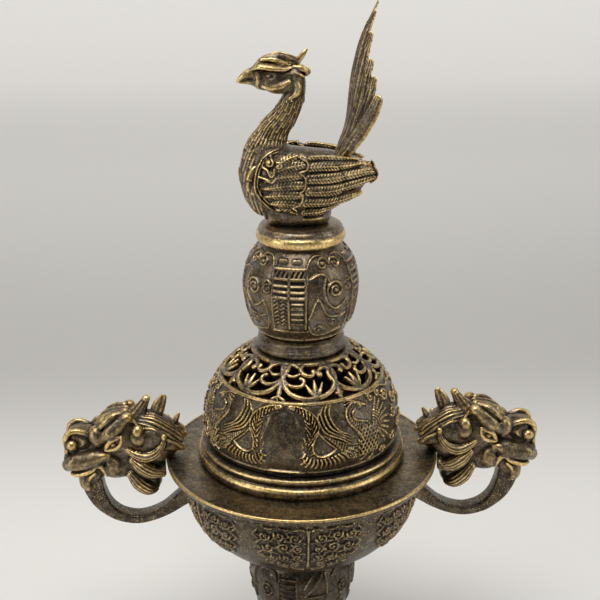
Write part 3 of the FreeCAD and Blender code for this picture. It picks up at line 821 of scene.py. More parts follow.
def ball_ornament(radius):
    """Four units round the ball: a fretted pillar between facing scrolls."""
    art = strip(radius, 45)
    low = 0.62
    art.repeat(4, FRONT_TURN)
    # The pillar, blocks and bars
    art.stroke([(-34, 36.5), (1, 36.5)], 0.75, 1)
    art.stroke([(-34, 32.4), (1, 32.4)], 0.80, 0.95)
    art.stroke([(-30, 40), (-23, 40)], 1.1, 0.9)
    art.stroke([(-13, 40), (-6, 40)], 1.1, 0.9)
    for height in (29.6, 27.2, 24.8):
        art.stroke([(-33, height), (0, height)], 0.72, 0.85)
    for x in (-34, -17, 0):
        art.stroke([(x, 36), (x, 11)], 0.55, 0.85)
    for x in range(-31, 0, 5):
        art.stroke([(x - 1.2, 33.6), (x + 1.2, 35.4)], 0.55, 0.75)
    for i in range(7):
        height = 12.5 + 1.75 * i
        art.stroke([(-32, height), (-28, height + 1), (-25, height), (-22, height + 1), (-18.5, height)],
                   0.32, 0.55)
    for i in range(5):
        art.stroke([(-14, 22.4 - 2.3 * i), (-3, 22.4 - 2.3 * i)], 0.5, 0.7)
    art.stroke([(-36, 9.6), (2, 9.6)], 0.5, 0.8)
    # Scrolls springing from its head
    art.stroke([(1, 31), (2, 37), (8, 41), (18, 42.2), (26, 40.5), (28.5, 38)], [0.6, 0.5, 0.4], 0.8)
    art.curl((20.5, 38.3), 3, 10, 1.25, [0.5, 0.4], 0.8, bead=0.7)
    art.stroke([(-35, 32), (-37, 38), (-43, 41.6), (-53, 42), (-60, 39.5)], [0.6, 0.5, 0.4], 0.8)
    art.curl((-53, 38), 2.9, 170, -1.25, [0.5, 0.4], 0.8, bead=0.7)
    art.stroke([(4, 32.4), (14, 34.2), (22, 33.4), (25, 31)], [0.35, 0.6, 0.35], 0.75)
    # The great spiral and the tongue under it
    art.curl((31.5, 27.2), 3.9, 200, -1.75, [0.62, 0.45], 0.85, bead=0.85)
    art.stroke([(21.5, 33), (18.6, 27.5), (22, 22.2), (30, 19.4), (38, 20), (46, 22.6)],
               [0.4, 0.55, 0.5, 0.4], 0.8)
    art.stroke([(3, 15.5), (12, 23.8), (22, 16.8), (38, 15.2), (46, 16)], [0.4, 0.5, 0.4], 0.75)
    art.curl((30, 12.2), 2, 150, -1.3, 0.4, low, bead=0.6)
    art.curl((13, 10.2), 1.9, 20, 1.3, 0.4, low, bead=0.6)
    art.stroke([(3, 12), (7, 8.4), (16, 7.2), (30, 8), (44, 9.2)], [0.4, 0.45, 0.4], low)
    art.stroke([(-44, 22), (-40.5, 18.5), (-40, 13), (-43, 9.2)], [0.5, 0.4], low)
    art.curl((-40.5, 27.5), 2.2, 60, 1.4, 0.4, low, bead=0.6)
    art.stroke([(-36.5, 30), (-42, 31.2), (-46, 29)], 0.4, low)
    art.repeat(1)
    art.stroke([(0, 4), (120, 4), (240, 4), (360, 4)], 0.42, 0.5)
    art.soften()
    return art


def make_ball(name, body, material, slot, profile, ornament, radius, wall):
    """A hollow turned ball with ornament round it, open only at the bolt's holes."""
    outer = spline(profile, step=0.40)
    inner = inset(spline(profile, step=1.5), wall)[1:-1][::-1]
    low, high = profile[0][1], profile[-1][1]
    roof, floor = high - wall, low + wall
    inner = inner[(inner[:, 1] < roof) & (inner[:, 1] > floor)]
    item = turned(name, [
        *edges(120, (BOLT_HOLE_R, low), outer[0]),
        (outer, 480, on_strip(ornament, radius, 1.2, length_of(outer))),
        *edges(120, outer[-1], (BOLT_HOLE_R, high), (BOLT_HOLE_R, roof), (inner[0][0], roof)),
        (inner, 120),
        *edges(120, (inner[-1][0], floor), (BOLT_HOLE_R, floor), (BOLT_HOLE_R, low)),
    ])
    place(item, body, material, slot, name)


def knob_ornament(radius):
    """Scrolls, a barred block and slanting bands, four times round under a plain neck."""
    art = strip(radius, 46)
    art.repeat(4, FRONT_TURN)
    base = 13.5
    art.curl((-46, base + 17), 3.6, 250, 1.5, [0.6, 0.45], 0.85, bead=0.8)
    art.stroke([(-60, base + 24), (-52, base + 26), (-38, base + 25.5), (-33, base + 21)], 0.45, 0.7)
    for i in range(5):
        art.stroke([(-30, base + 14 + 2.4 * i), (-12, base + 14 + 2.4 * i)], 0.5, 0.7)
    art.stroke([(-31, base + 25), (-31, base + 9)], 0.45, 0.8)
    art.stroke([(-10.5, base + 25), (-10.5, base + 9)], 0.45, 0.8)
    art.stroke([(-1, base + 16), (9, base + 20.5), (18, base + 25.5)], 0.6, 0.85)
    art.stroke([(-2, base + 20), (6, base + 25)], 0.5, 0.8)
    art.stroke([(22.5, base + 26), (22.5, base + 8)], 0.5, 0.85)
    art.stroke([(2, base + 15.5), (28, base + 15.5)], 0.5, 0.8)
    art.curl((10, base + 11), 2.2, 90, -1.3, 0.42, 0.7, bead=0.6)
    art.curl((-46, base + 8), 2.6, 90, 1.3, 0.42, 0.7, bead=0.6)
    art.curl((-21, base + 5), 2.2, 90, 1.3, 0.42, 0.7, bead=0.6)
    art.stroke([(-56, base + 2), (-40, base + 1), (-12, base + 0.5), (10, base + 1.5), (28, base + 4.5)],
               0.45, 0.65)
    art.soften()
    return art


def bowl_ornament(radius, length):
    """Six shields of leaf scrolls, set close, with plain bands between."""
    art = strip(radius, length)
    art.fold(6, FRONT_TURN - 2)
    tall, soft = 1.05, 0.8
    art.stroke([(0, 31), (0, 36), (0, 42), (0, 47), (0, 53.5)], [0.9, 0.5, 0.7, 0.5, 0.9], tall)
    for centre, size, start, turns in (
        ((6, 50.2), 2.3, 200, 1.35), ((13.2, 51), 2.2, 20, -1.3), ((20.2, 50.4), 2.2, 180, 1.3),
        ((4.8, 44.6), 2.2, 100, -1.35), ((11.4, 45.2), 2.7, 230, 1.5), ((18.6, 44.4), 2.3, 0, -1.3),
        ((5, 39.2), 2, 210, 1.3), ((11.2, 38.8), 2.1, 20, -1.3), ((17, 38.4), 1.8, 180, 1.2),
        ((5.6, 34.2), 1.7, 110, -1.25), ((12, 33.6), 1.5, 200, 1.2),
    ):
        art.curl(centre, size, start, turns, [0.66, 0.40], tall, bead=0.7)
        # Leaf tips springing from the scroll's back
        for step in range(3):
            turn = math.radians(start) + math.copysign(0.9 + 1.15 * step, turns)
            (x, y), (dx, dy) = centre, (math.cos(turn), math.sin(turn))
            lean = math.copysign(0.7, turns)
            root = (x + 0.8 * size * dx, y + 0.7 * size * dy)
            bend = (x + 1.25 * (size + 0.3) * dx, y + 1.05 * (size + 0.1) * dy)
            tip = (x + 1.35 * (size + 0.9) * dx - lean * dy, y + 1.1 * (size + 0.7) * dy + lean * dx)
            art.stroke([root, bend, tip], [0.6, 0.75, 0.2], 0.85)
    for points, width in (
        ([(23.4, 53.4), (25.4, 50.6), (23.2, 48.6)], [0.3, 0.9, 0.4]),
        ([(22.4, 47.6), (25, 45.4), (22.8, 43)], [0.3, 0.95, 0.4]),
        ([(21.4, 42.4), (23.8, 40.2), (21.2, 38)], [0.3, 0.9, 0.4]),
        ([(19.4, 37.4), (20.6, 35.2), (17.6, 33.6)], [0.3, 0.9, 0.3]),
        ([(15.2, 34.4), (14.6, 31.8), (10.8, 30.6)], [0.4, 0.8, 0.3]),
        ([(8.8, 31.8), (6.6, 29.6), (2, 28.6)], [0.4, 0.8, 0.5]),
        ([(1.6, 53.6), (3.6, 54.6), (6.4, 53.8)], [0.4, 0.8, 0.3]),
        ([(8.2, 54.4), (10.6, 54.2), (13.4, 54.6)], [0.3, 0.8, 0.3]),
        ([(15.4, 54.6), (18.2, 54), (21, 54.4)], [0.3, 0.8, 0.3]),
        ([(1.2, 47.6), (3.2, 48), (4.2, 47)], [0.5, 0.8, 0.3]),
        ([(8, 47.8), (9.4, 48.8), (11.2, 48.2)], [0.3, 0.75, 0.3]),
        ([(15.4, 47.8), (17, 48.2), (18.6, 47.2)], [0.3, 0.8, 0.3]),
        ([(1.2, 41.6), (3, 42.2), (3.8, 41.2)], [0.4, 0.75, 0.3]),
        ([(7.6, 41.6), (9.4, 42.2), (11.6, 41.6)], [0.3, 0.75, 0.3]),
        ([(14.8, 41.2), (16.6, 41.8), (18, 41)], [0.3, 0.7, 0.3]),
        ([(1, 36.6), (2.6, 37), (3.2, 36)], [0.4, 0.7, 0.3]),
        ([(8.4, 36.4), (9.8, 36.6), (11, 35.8)], [0.3, 0.65, 0.3]),
    ):
        art.stroke(points, width, soft)
    art.repeat(1)
    art.soften()
    return art


def make_bowl(material):
    """The bowl's wall with its shields, and the broad plain flange with a rounded edge."""
    outline = [(20, KNOB_TOP), (26.2, 79.6), (35.2, 84.5), (43.2, 91.5), (48.8, 100.2), (51.8, 111),
               (52.3, 121.8)]
    radius = 50.0
    outer = spline(outline, step=0.40)
    inner = inset(spline(outline[1:], step=1.4), WALL)
    floor, under, edge_r, top = KNOB_TOP + 4.5, RIM - FLANGE_T, FLANGE_R - 1.6, RIM - 0.3
    throat = under - 7.0
    inner = inner[(inner[:, 1] > floor) & (inner[:, 1] < throat)][::-1]
    art = bowl_ornament(radius, length_of(outer))
    item = turned("bowl", [
        *edges(384, (BOLT_HOLE_R, KNOB_TOP), outer[0]),
        (outer, 768, on_strip(art, radius, 1.0)),
        *edges(384, outer[-1], (edge_r, under)),
        (spline([(edge_r, under), (edge_r + 1.1, under + 0.9), (FLANGE_R - 0.15, RIM - 1.2),
                 (FLANGE_R - 0.1, RIM - 0.7)], step=0.3), 384),
        (arc((FLANGE_R - 0.75, RIM - 0.62), 0.62, 0, 100, 0.16), 384),
        (spline([(FLANGE_R - 0.9, RIM - 0.02), (FLANGE_R - 1.5, RIM - 0.2), (FLANGE_R - 2.4, top)],
                step=0.25), 384),
        *edges(384, (FLANGE_R - 2.4, top), (REBATE_R, top), (REBATE_R, RIM - REBATE_DEPTH),
               (MOUTH_R, RIM - REBATE_DEPTH), (MOUTH_R, under - 2.0), (49.2, throat)),
        (inner, 128),
        *edges(128, inner[-1], (inner[-1][0] - 2, floor), (BOLT_HOLE_R, floor), (BOLT_HOLE_R, KNOB_TOP)),
    ])

    def rubbed(r, z):
        return 0.5 * ((r > FLANGE_R - 1.0) & (z > RIM - 0.8)) + 0.15 * ((r > 46) & (z > RIM - 0.5))

    place(item, "base", material, "patinated_bronze", "bowl", rubbed=rubbed)


def make_liner(material):
    """Spun copper cup hung by its lip, its wall a little beaten."""
    low, lip, rolled_r = RIM - 32.2, RIM - REBATE_DEPTH, 41.2
    outer = spline([(25.0, low), (32.3, low + 4), (36.9, low + 15), (38.5, lip)], step=0.8)
    inner = inset(outer, LINER_WALL)[::-1]

    def beaten(angle, s):
        return 0.08 * np.sin(angle * 47 + s * 0.9) * np.sin(s * 1.7 + 3 * np.sin(angle * 11))

    item = turned("ash_liner", [
        *edges(192, (0, low), outer[0]),
        (outer, 192),
        *edges(192, outer[-1], (rolled_r + 0.3, lip)),
        (arc((rolled_r, lip + 0.8), 0.5, -60, 90, 0.2), 192),
        *edges(192, (rolled_r, RIM - 0.9), (inner[0][0], RIM - 0.9)),
        (inner, 192, beaten),
        *edges(192, inner[-1], (0, inner[-1][1]), (0, low)),
    ])
    place(item, "liner", material, "copper_liner", "ash_liner")


# Lid

DOME = [(40.8, 134.0), (42.2, 140.0), (42.3, 146.0), (40.9, 153.0), (37.2, 161.0), (31.4, 168.0),
        (24.6, 173.2), (19.4, CROWN)]
WALL_TOP = 32.0  # how far up the dome's curve the pierced scrollwork starts


def dome_ornament(radius, length):
    """Two pairs of facing phoenixes, whose long-barbed plumes meet over a plain arch."""
    art = strip(radius, length, step=0.12)
    art.fold(2, FRONT_TURN - 15.5)
    # Plain arch, sunk a little
    art.stroke([(0, 6), (0, 12), (0, 18), (0, 24)], [8.6, 9.2, 8.6, 6.4], 0.5, pan, carve=True)
    # Plume: barbs sweep up from its outer line to the arch
    outer = spline([(15.6, 8.2), (17, 12), (17.2, 15.8), (19.3, 19.3), (20.8, 22.8), (19.2, 26.4),
                    (14.5, 29.2), (7, 30.9)], count=40)
    edge = spline([(11.2, 9), (11, 14), (11.6, 19), (11.2, 22.5), (9.6, 25.6), (6, 28.2), (0, 29.6)],
                  count=40)
    bed = 0.5 * (outer + edge)
    art.stroke(bed[::3], [1.9, 2.4, 3, 2.8, 1.4], 0.95, slab)
    for i in range(-10, 36, 3):
        (x0, y0), (x1, y1) = bed[max(i, 0)], edge[min(i + 12, 39)]
        art.stroke([(x0, y0 - 1), (0.5 * (x0 + x1) + 0.6, 0.5 * (y0 + y1) - 0.4), (x1 - 1, y1 + 0.8)], 0.30,
                   0.12, furrow, carve=True)
        (x0, y0), (x1, y1) = bed[max(i, 0)], outer[min(i + 8, 39)]
        art.stroke([(x0, y0 - 1), (0.5 * (x0 + x1) + 0.4, 0.5 * (y0 + y1)), (x1 + 0.6, y1)], 0.26, 0.12,
                   furrow, carve=True)
    art.stroke(outer[4:], [0.30, 0.42, 0.42, 0.34], 1)
    # Comb of short barbs round the foot of the plume
    for (x0, y0), (x1, y1) in zip(spline([(12.5, 11.5), (14.6, 9), (20, 8.6), (26, 9), (31, 10), (37, 12)],
                                         count=14),
                                  spline([(9.6, 9.6), (10.6, 6.4), (17.6, 4.6), (27, 4.8), (35.5, 6.4),
                                          (43, 9.4)],
                                         count=14)):
        art.stroke([(x0, y0), (0.5 * (x0 + x1) + 0.7, 0.5 * (y0 + y1)), (x1, y1)], [0.50, 0.60, 0.22],
                   [0.9, 0.7])
    # Teardrop eye inside it
    art.stroke([(20.4, 20), (17.8, 17.2), (16.6, 13.8), (18.4, 11), (22, 10), (26.4, 10.8), (30, 12.8)], 0.42,
               1)
    art.stroke([(20.4, 20), (23.6, 17), (27, 14.6), (30, 12.8)], 0.36, 0.85)
    # Feathers that hang from the neck and spread over the breast
    for i, (x, y) in enumerate(((29.8, 31), (27.2, 31), (24.6, 30.4), (22.6, 28))):
        art.stroke([(x, y), (x - 2.2, 0.5 * y + 12), (x - 0.4 + 0.6 * i, 23.0 - 1.0 * i),
                    (33, 19.8 - 1.1 * i), (39, 17.4 - 1.3 * i)], [0.30, 0.55, 0.50, 0.36], [0.8, 1, 0.8])
    for i in range(6):
        art.stroke([(23.5 + 1.5 * i, 18.6 - 1.0 * i), (30.0 + i, 15.8 - 1.15 * i), (38, 13.4 - 1.2 * i),
                    (44.5, 12.4 - 1.1 * i)], [0.34, 0.60, 0.50, 0.2], [0.75, 0.95, 0.6], barbed(1.3, 0.5))
    # Neck, head, beak and crest
    art.stroke([(50.5, 27.4), (45, 28.2), (41, 26.6), (40.4, 23.8), (43.4, 20.8), (47.5, 18.4), (52.5, 15.4)],
               [1.3, 1.2, 1.1, 1.3, 2.2, 3.4, 4.4], 0.62, barbed(1.2, 0.8))
    art.stroke([(44, 29.6), (39.6, 27.6), (38.6, 23.6), (42, 19.6), (46, 16.4), (47.4, 13.4)], 0.42, 1.05)
    art.stroke([(46, 26.8), (43, 25.6), (43.6, 23.2), (47, 21.8), (52, 20.6)], 0.38, 0.9)
    art.dot((49.5, 28.2), 1.7, 1.2)
    art.stroke([(50.8, 28.3), (54.4, 27.2)], [0.95, 0.3], 1.1)
    for i in range(3):
        art.stroke([(48.4, 29.2), (44, 30.9 - 0.7 * i), (39.4, 31.0 - 1.5 * i)], [0.6, 0.5, 0.2], 0.9)
    # Body in scales, spread wing and legs
    for row in range(8):
        for column in range(5):
            x, y = 45.5 + column * 2.7 + 1.35 * (row % 2), 7.6 + row * 1.55
            art.stroke([(x - 1.35, y + 0.7), (x - 0.8, y - 0.45), (x + 0.8, y - 0.45), (x + 1.35, y + 0.7)],
                       0.36, 0.85)
    for i in range(9):
        turn = math.radians(58 - 14 * i)
        tip = (57.0 + 15.5 * math.cos(turn), 18.0 + 12.0 * math.sin(turn))
        art.stroke([(55, 17.6), (0.5 * (55.0 + tip[0]), 0.5 * (17.6 + tip[1]) + 0.9), tip],
                   [0.5, 0.85, 0.75, 0.3], [0.7, 1, 0.8], barbed(1.2, 0.6))
    art.stroke([(50, 8.6), (48, 6), (44.6, 4.8)], [0.7, 0.4], 0.8)
    art.stroke([(54, 8), (54.4, 5.4), (51, 3.9)], [0.7, 0.4], 0.8)
    # Clouds behind
    for centre, size, start, turns in (
        ((75.5, 27), 2.8, 180, 1.4), ((84.5, 23), 3, 0, -1.4), ((78, 18), 2.4, 200, 1.3),
        ((60.5, 29), 1.7, 90, 1.2), ((84, 11.5), 2.8, 20, -1.3), ((74.5, 8.6), 2.4, 170, 1.3),
        ((62.5, 5.9), 1.9, 0, -1.3), ((68, 29.6), 1.6, 0, -1.2),
    ):
        art.curl(centre, size, start, turns, [0.66, 0.5], 0.95, bead=0.8)
    art.stroke([(58.5, 31), (66, 30.8), (75, 31), (84, 28.6), (90, 29.6)], 0.5, 0.8)
    art.stroke([(79.5, 20.5), (82.5, 17.5), (88, 16.5)], [0.45, 0.6, 0.4], 0.8)
    art.stroke([(66.5, 4.6), (74, 4.2), (82, 4.6), (90, 5.6)], 0.5, 0.8)
    # Rims of the band
    art.repeat(1)
    art.stroke([(x, 2.6) for x in range(0, 361, 45)], 0.34, 0.5)
    art.stroke([(x, 32.1) for x in range(0, 361, 45)], 0.36, 0.75)
    art.soften()
    return art


def make_dome_wall(material):
    """The dome's solid part: spigot, two mouldings and the wall with its phoenix band."""
    curve = spline(DOME, step=0.40)
    run = np.concatenate([[0], np.cumsum(np.linalg.norm(np.diff(curve, axis=0), axis=1))])
    outer = curve[run <= WALL_TOP + 0.2]
    radius = 41.5
    art = dome_ornament(radius, WALL_TOP + 1.0)
    inner = inset(spline(DOME, step=1.2), LID_WALL)
    inner = inner[(inner[:, 1] > DOME[1][1]) & (inner[:, 1] < outer[-1][1])][::-1]
    low = RIM - SPIGOT_DEPTH
    item = turned("lid_dome_wall", [
        *edges(240, (SPIGOT_BORE, low), (SPIGOT_R, low), (SPIGOT_R, RIM), (LID_SEAT_R, RIM)),
        (arc((LID_SEAT_R - 1.4, RIM + 2.6), 2.6, -68, 68, 0.25), 240),
        (spline([(LID_SEAT_R - 0.5, RIM + 5.2), (43.0, RIM + 5.7), (43.1, RIM + 6.3)], step=0.3), 240),
        (arc((43.0, RIM + 7.5), 1.3, -80, 80, 0.2), 240),
        *edges(240, (43.0, RIM + 8.8), (41.0, RIM + 8.9)),
        (outer, 720, on_strip(art, radius, 0.6)),
        (straight(outer[-1], inner[0], 0.5), 240),
        (inner, 120),
        *edges(120, inner[-1], (SPIGOT_BORE, RIM + 6), (SPIGOT_BORE, low)),
    ])

    def rubbed(r, z):
        lower = np.clip(1 - np.abs(z - RIM - 4.0) / 0.8, 0, 1) * (r > LID_SEAT_R)
        upper = np.clip(1 - np.abs(z - RIM - 8.1) / 0.45, 0, 1) * (r > 43.3)
        return 0.30 * lower + 0.34 * upper

    place(item, "lid", material, "rubbed_bronze", "lid_dome", rubbed=rubbed)


def scrollwork(rim):
    """The pierced scrolls as depth inside their edges, drawn on the crown laid flat."""
    half = rim + 4.0

    def flat(points):
        angle, rho = np.radians(points[:, 0] - 90), rim - points[:, 1]
        return np.stack([rho * np.cos(angle), rho * np.sin(angle)], axis=1)

    art = Relief((-half, -half), (half, half), flat, step=0.16, ground=-4)
    art.copies = [(FRONT_TURN + 1.0 + 45.0 * i, 1 if i % 2 == 0 else -1) for i in range(8)]
    band = 1.2

    def bar(points, width):
        art.stroke(points, width, None, None)

    # The main scroll: under its cell, up the far side and curled back to a bead
    bar([(-27.5, 51.5), (-24.5, 46), (-21, 41), (-16, 37.2), (-9, 35), (0, 34), (9.5, 34.8),
         (17.5, 37), (22.5, 40.4), (25, 44), (22.5, 47.2), (16, 48), (10.8, 46.6), (10.6, 45)],
        [0.8, band, band, band, 1.15, band, 0.8])
    art.dot((11.4, 44.8), 1.45, None, None)
    # The hook over it, down to its own bead
    bar([(24.5, 47.5), (22, 50.4), (10, 52), (-2, 50.8), (-6.5, 48), (-3.5, 45.4), (2.5, 44.4),
         (6.6, 45.6)], [0.8, band, band, 0.8])
    art.dot((6.2, 46.4), 1.4, None, None)
    # Lying volute
    bar([(-21.5, 43), (-17, 40.4), (-11, 39.4), (-5.5, 40), (-3.6, 42.2), (-6.6, 43.4)], [0.5, 0.9, 1, 0.85])
    bar([(-22.5, 46.5), (-18, 44.6), (-12.5, 44.2), (-8, 45.4)], [0.5, 0.9, 0.5])
    # Lotus bud
    for tip, width in (((-2.6, 40.4), 1.05), ((4.8, 42.4), 1.25), ((11.6, 41), 1)):
        bar([(4.4, 34.6), (0.5 * (tip[0] + 4.4), 37.2), tip], [0.7, width, 0.4])
    # Leaf fan at the far side
    for tip in ((19.5, 35.4), (20.6, 38.4), (22.5, 41.4)):
        bar([(22.5, 33.4), (0.5 * (22.5 + tip[0]) + 0.5, 0.5 * (33.4 + tip[1]) + 0.6), tip], [1, 0.95, 0.4])
    # Arrow leaf at the near side
    bar([(-22.5, 33), (-22.5, 36), (-22.5, 39.6)], [0.5, 1.35, 0.8])
    bar([(-22.5, 34.6), (-18, 33.4)], [0.8, 0.7])
    # Strands up to the crown's rim
    bar([(25.5, 43.5), (23.5, 47.5), (21, 50.5), (20, 54)], [0.8, 0.95, 1])
    bar([(-6.5, 48), (-12, 49.4), (-19, 50.4), (-26, 53)], [0.7, 0.9, 0.9])
    bar([(-24, 45.5), (-22.5, 48), (-19, 50.4)], [0.7, 0.85, 0.7])
    art.soften()
    return art


def make_dome_crown(material):
    """The pierced crown: a shell of even thickness kept only where the scrolls run, with rounded backs."""
    curve = spline(DOME, step=0.2)
    run = np.concatenate([[0], np.cumsum(np.linalg.norm(np.diff(curve, axis=0), axis=1))])
    rim = DOME[-1][0] + run[-1]
    art = scrollwork(rim)
    low_z = float(np.interp(WALL_TOP - 1.5, run, curve[:, 1])) - LID_WALL
    r_most = float(np.interp(WALL_TOP - 1.5, run, curve[:, 0])) + 1.5
    clay = Clay((-r_most, -r_most, low_z), (r_most, r_most, CROWN + 1.2), 0.42)
    # How far up the meridian and how far off it every place lies, looked up from its radius and height
    cell = 0.2
    r_axis, z_axis = np.arange(0, r_most * 1.45, cell), np.arange(low_z - 0.5, CROWN + 2, cell)
    distance, s, offset, course, _ = near_line(curve, [r_axis, z_axis], 60.0)
    off = distance * np.sign(course[1] * offset[0] - course[0] * offset[1])
    x, y, z = clay.places()
    r = np.hypot(x, y)
    i, j = r / cell, (z - z_axis[0]) / cell
    i0, j0 = np.clip(i.astype(int), 0, len(r_axis) - 2), np.clip(j.astype(int), 0, len(z_axis) - 2)
    a, b = i - i0, j - j0

    def looked_up(table):
        return ((table[i0, j0] * (1 - a) + table[i0 + 1, j0] * a) * (1 - b)
                + (table[i0, j0 + 1] * (1 - a) + table[i0 + 1, j0 + 1] * a) * b)

    s, off = looked_up(s), looked_up(off)
    rho = np.maximum(rim - s, 0.1)
    inside = art.at(x / np.maximum(r, 0.1) * rho, y / np.maximum(r, 0.1) * rho)
    # Solid rings where the scrolls meet the wall below and the neck above
    inside = np.maximum(inside, (WALL_TOP + 0.9) - s)
    inside = np.maximum(inside, s - (run[-1] - 2.6))
    bulge = 0.75 * np.sqrt(np.clip(inside / 0.8, 0, 1)) - 0.15
    shell = np.maximum(off - bulge, -off - LID_WALL + 0.3)
    field = np.maximum(shell, -inside)
    floor = (WALL_TOP - 0.8) - s
    clay.field = np.maximum(np.maximum(field, floor), np.maximum(4.0 - r, z - CROWN)).astype(np.float32)
    # The flat plate under the neck
    plate = np.maximum(np.maximum(r - DOME[-1][0], BOLT_HOLE_R - r), np.maximum(z - CROWN, CROWN - WALL - z))
    clay.field = np.minimum(clay.field, plate).astype(np.float32)
    item = clay.mesh("lid_dome_crown")
    place(item, "lid", material, "rubbed_bronze", "lid_dome")


# Handles


def make_arm(name, side, material):
    """Square strap that leaves the bowl, swings under and swells into the dragon's jaws."""
    path = spline([(50.6, 105.0), (54.5, 102.4), (61.0, 97.6), (68.0, 94.4), (75.0, 93.3), (82.6, 95.4),
                   (88.6, 100.6), (92.0, 107.2), (93.2, 112.5), (93.6, 116.5)], step=0.8)
    half_thick = along([3.6, 3.1, 2.4, 2.1, 2.05, 2.3, 2.9, 4.0, 4.7, 4.7], np.linspace(0, 1, len(path)))
    half_wide, around, squareness = 4.0, 28, 0.42
    ahead = np.gradient(path, axis=0)
    ahead /= np.linalg.norm(ahead, axis=1, keepdims=True)
    across = np.stack([-ahead[:, 1], ahead[:, 0]], axis=1)
    points, faces = [], []
    turn = np.arange(around) * TAU / around
    for centre, normal, thick in zip(path, across, half_thick):
        c, s = np.cos(turn), np.sin(turn)
        a = np.sign(c) * np.abs(c)**squareness * thick * (1 + 0.10 * np.abs(s)**4)
        b = np.sign(s) * np.abs(s)**squareness * half_wide
        ring = np.stack([centre[0] + normal[0] * a, b, centre[1] + normal[1] * a], axis=1)
        points.append(ring * (side, 1, 1))
    n, rows = around, len(path)
    k = np.arange(n)
    for i in range(rows - 1):
        faces += np.stack([i * n + k, i * n + (k + 1) % n, (i + 1) * n + (k + 1) % n, (i + 1) * n + k],
                          axis=1).tolist()
    faces.append(list(range(n - 1, -1, -1)))
    faces.append([(rows - 1) * n + q for q in range(n)])
    if side > 0:
        faces = [face[::-1] for face in faces]
    item = mesh_object(name, np.vstack(points), faces, sharp_angle=40)
    place(item, "base", material, "patinated_bronze", name)


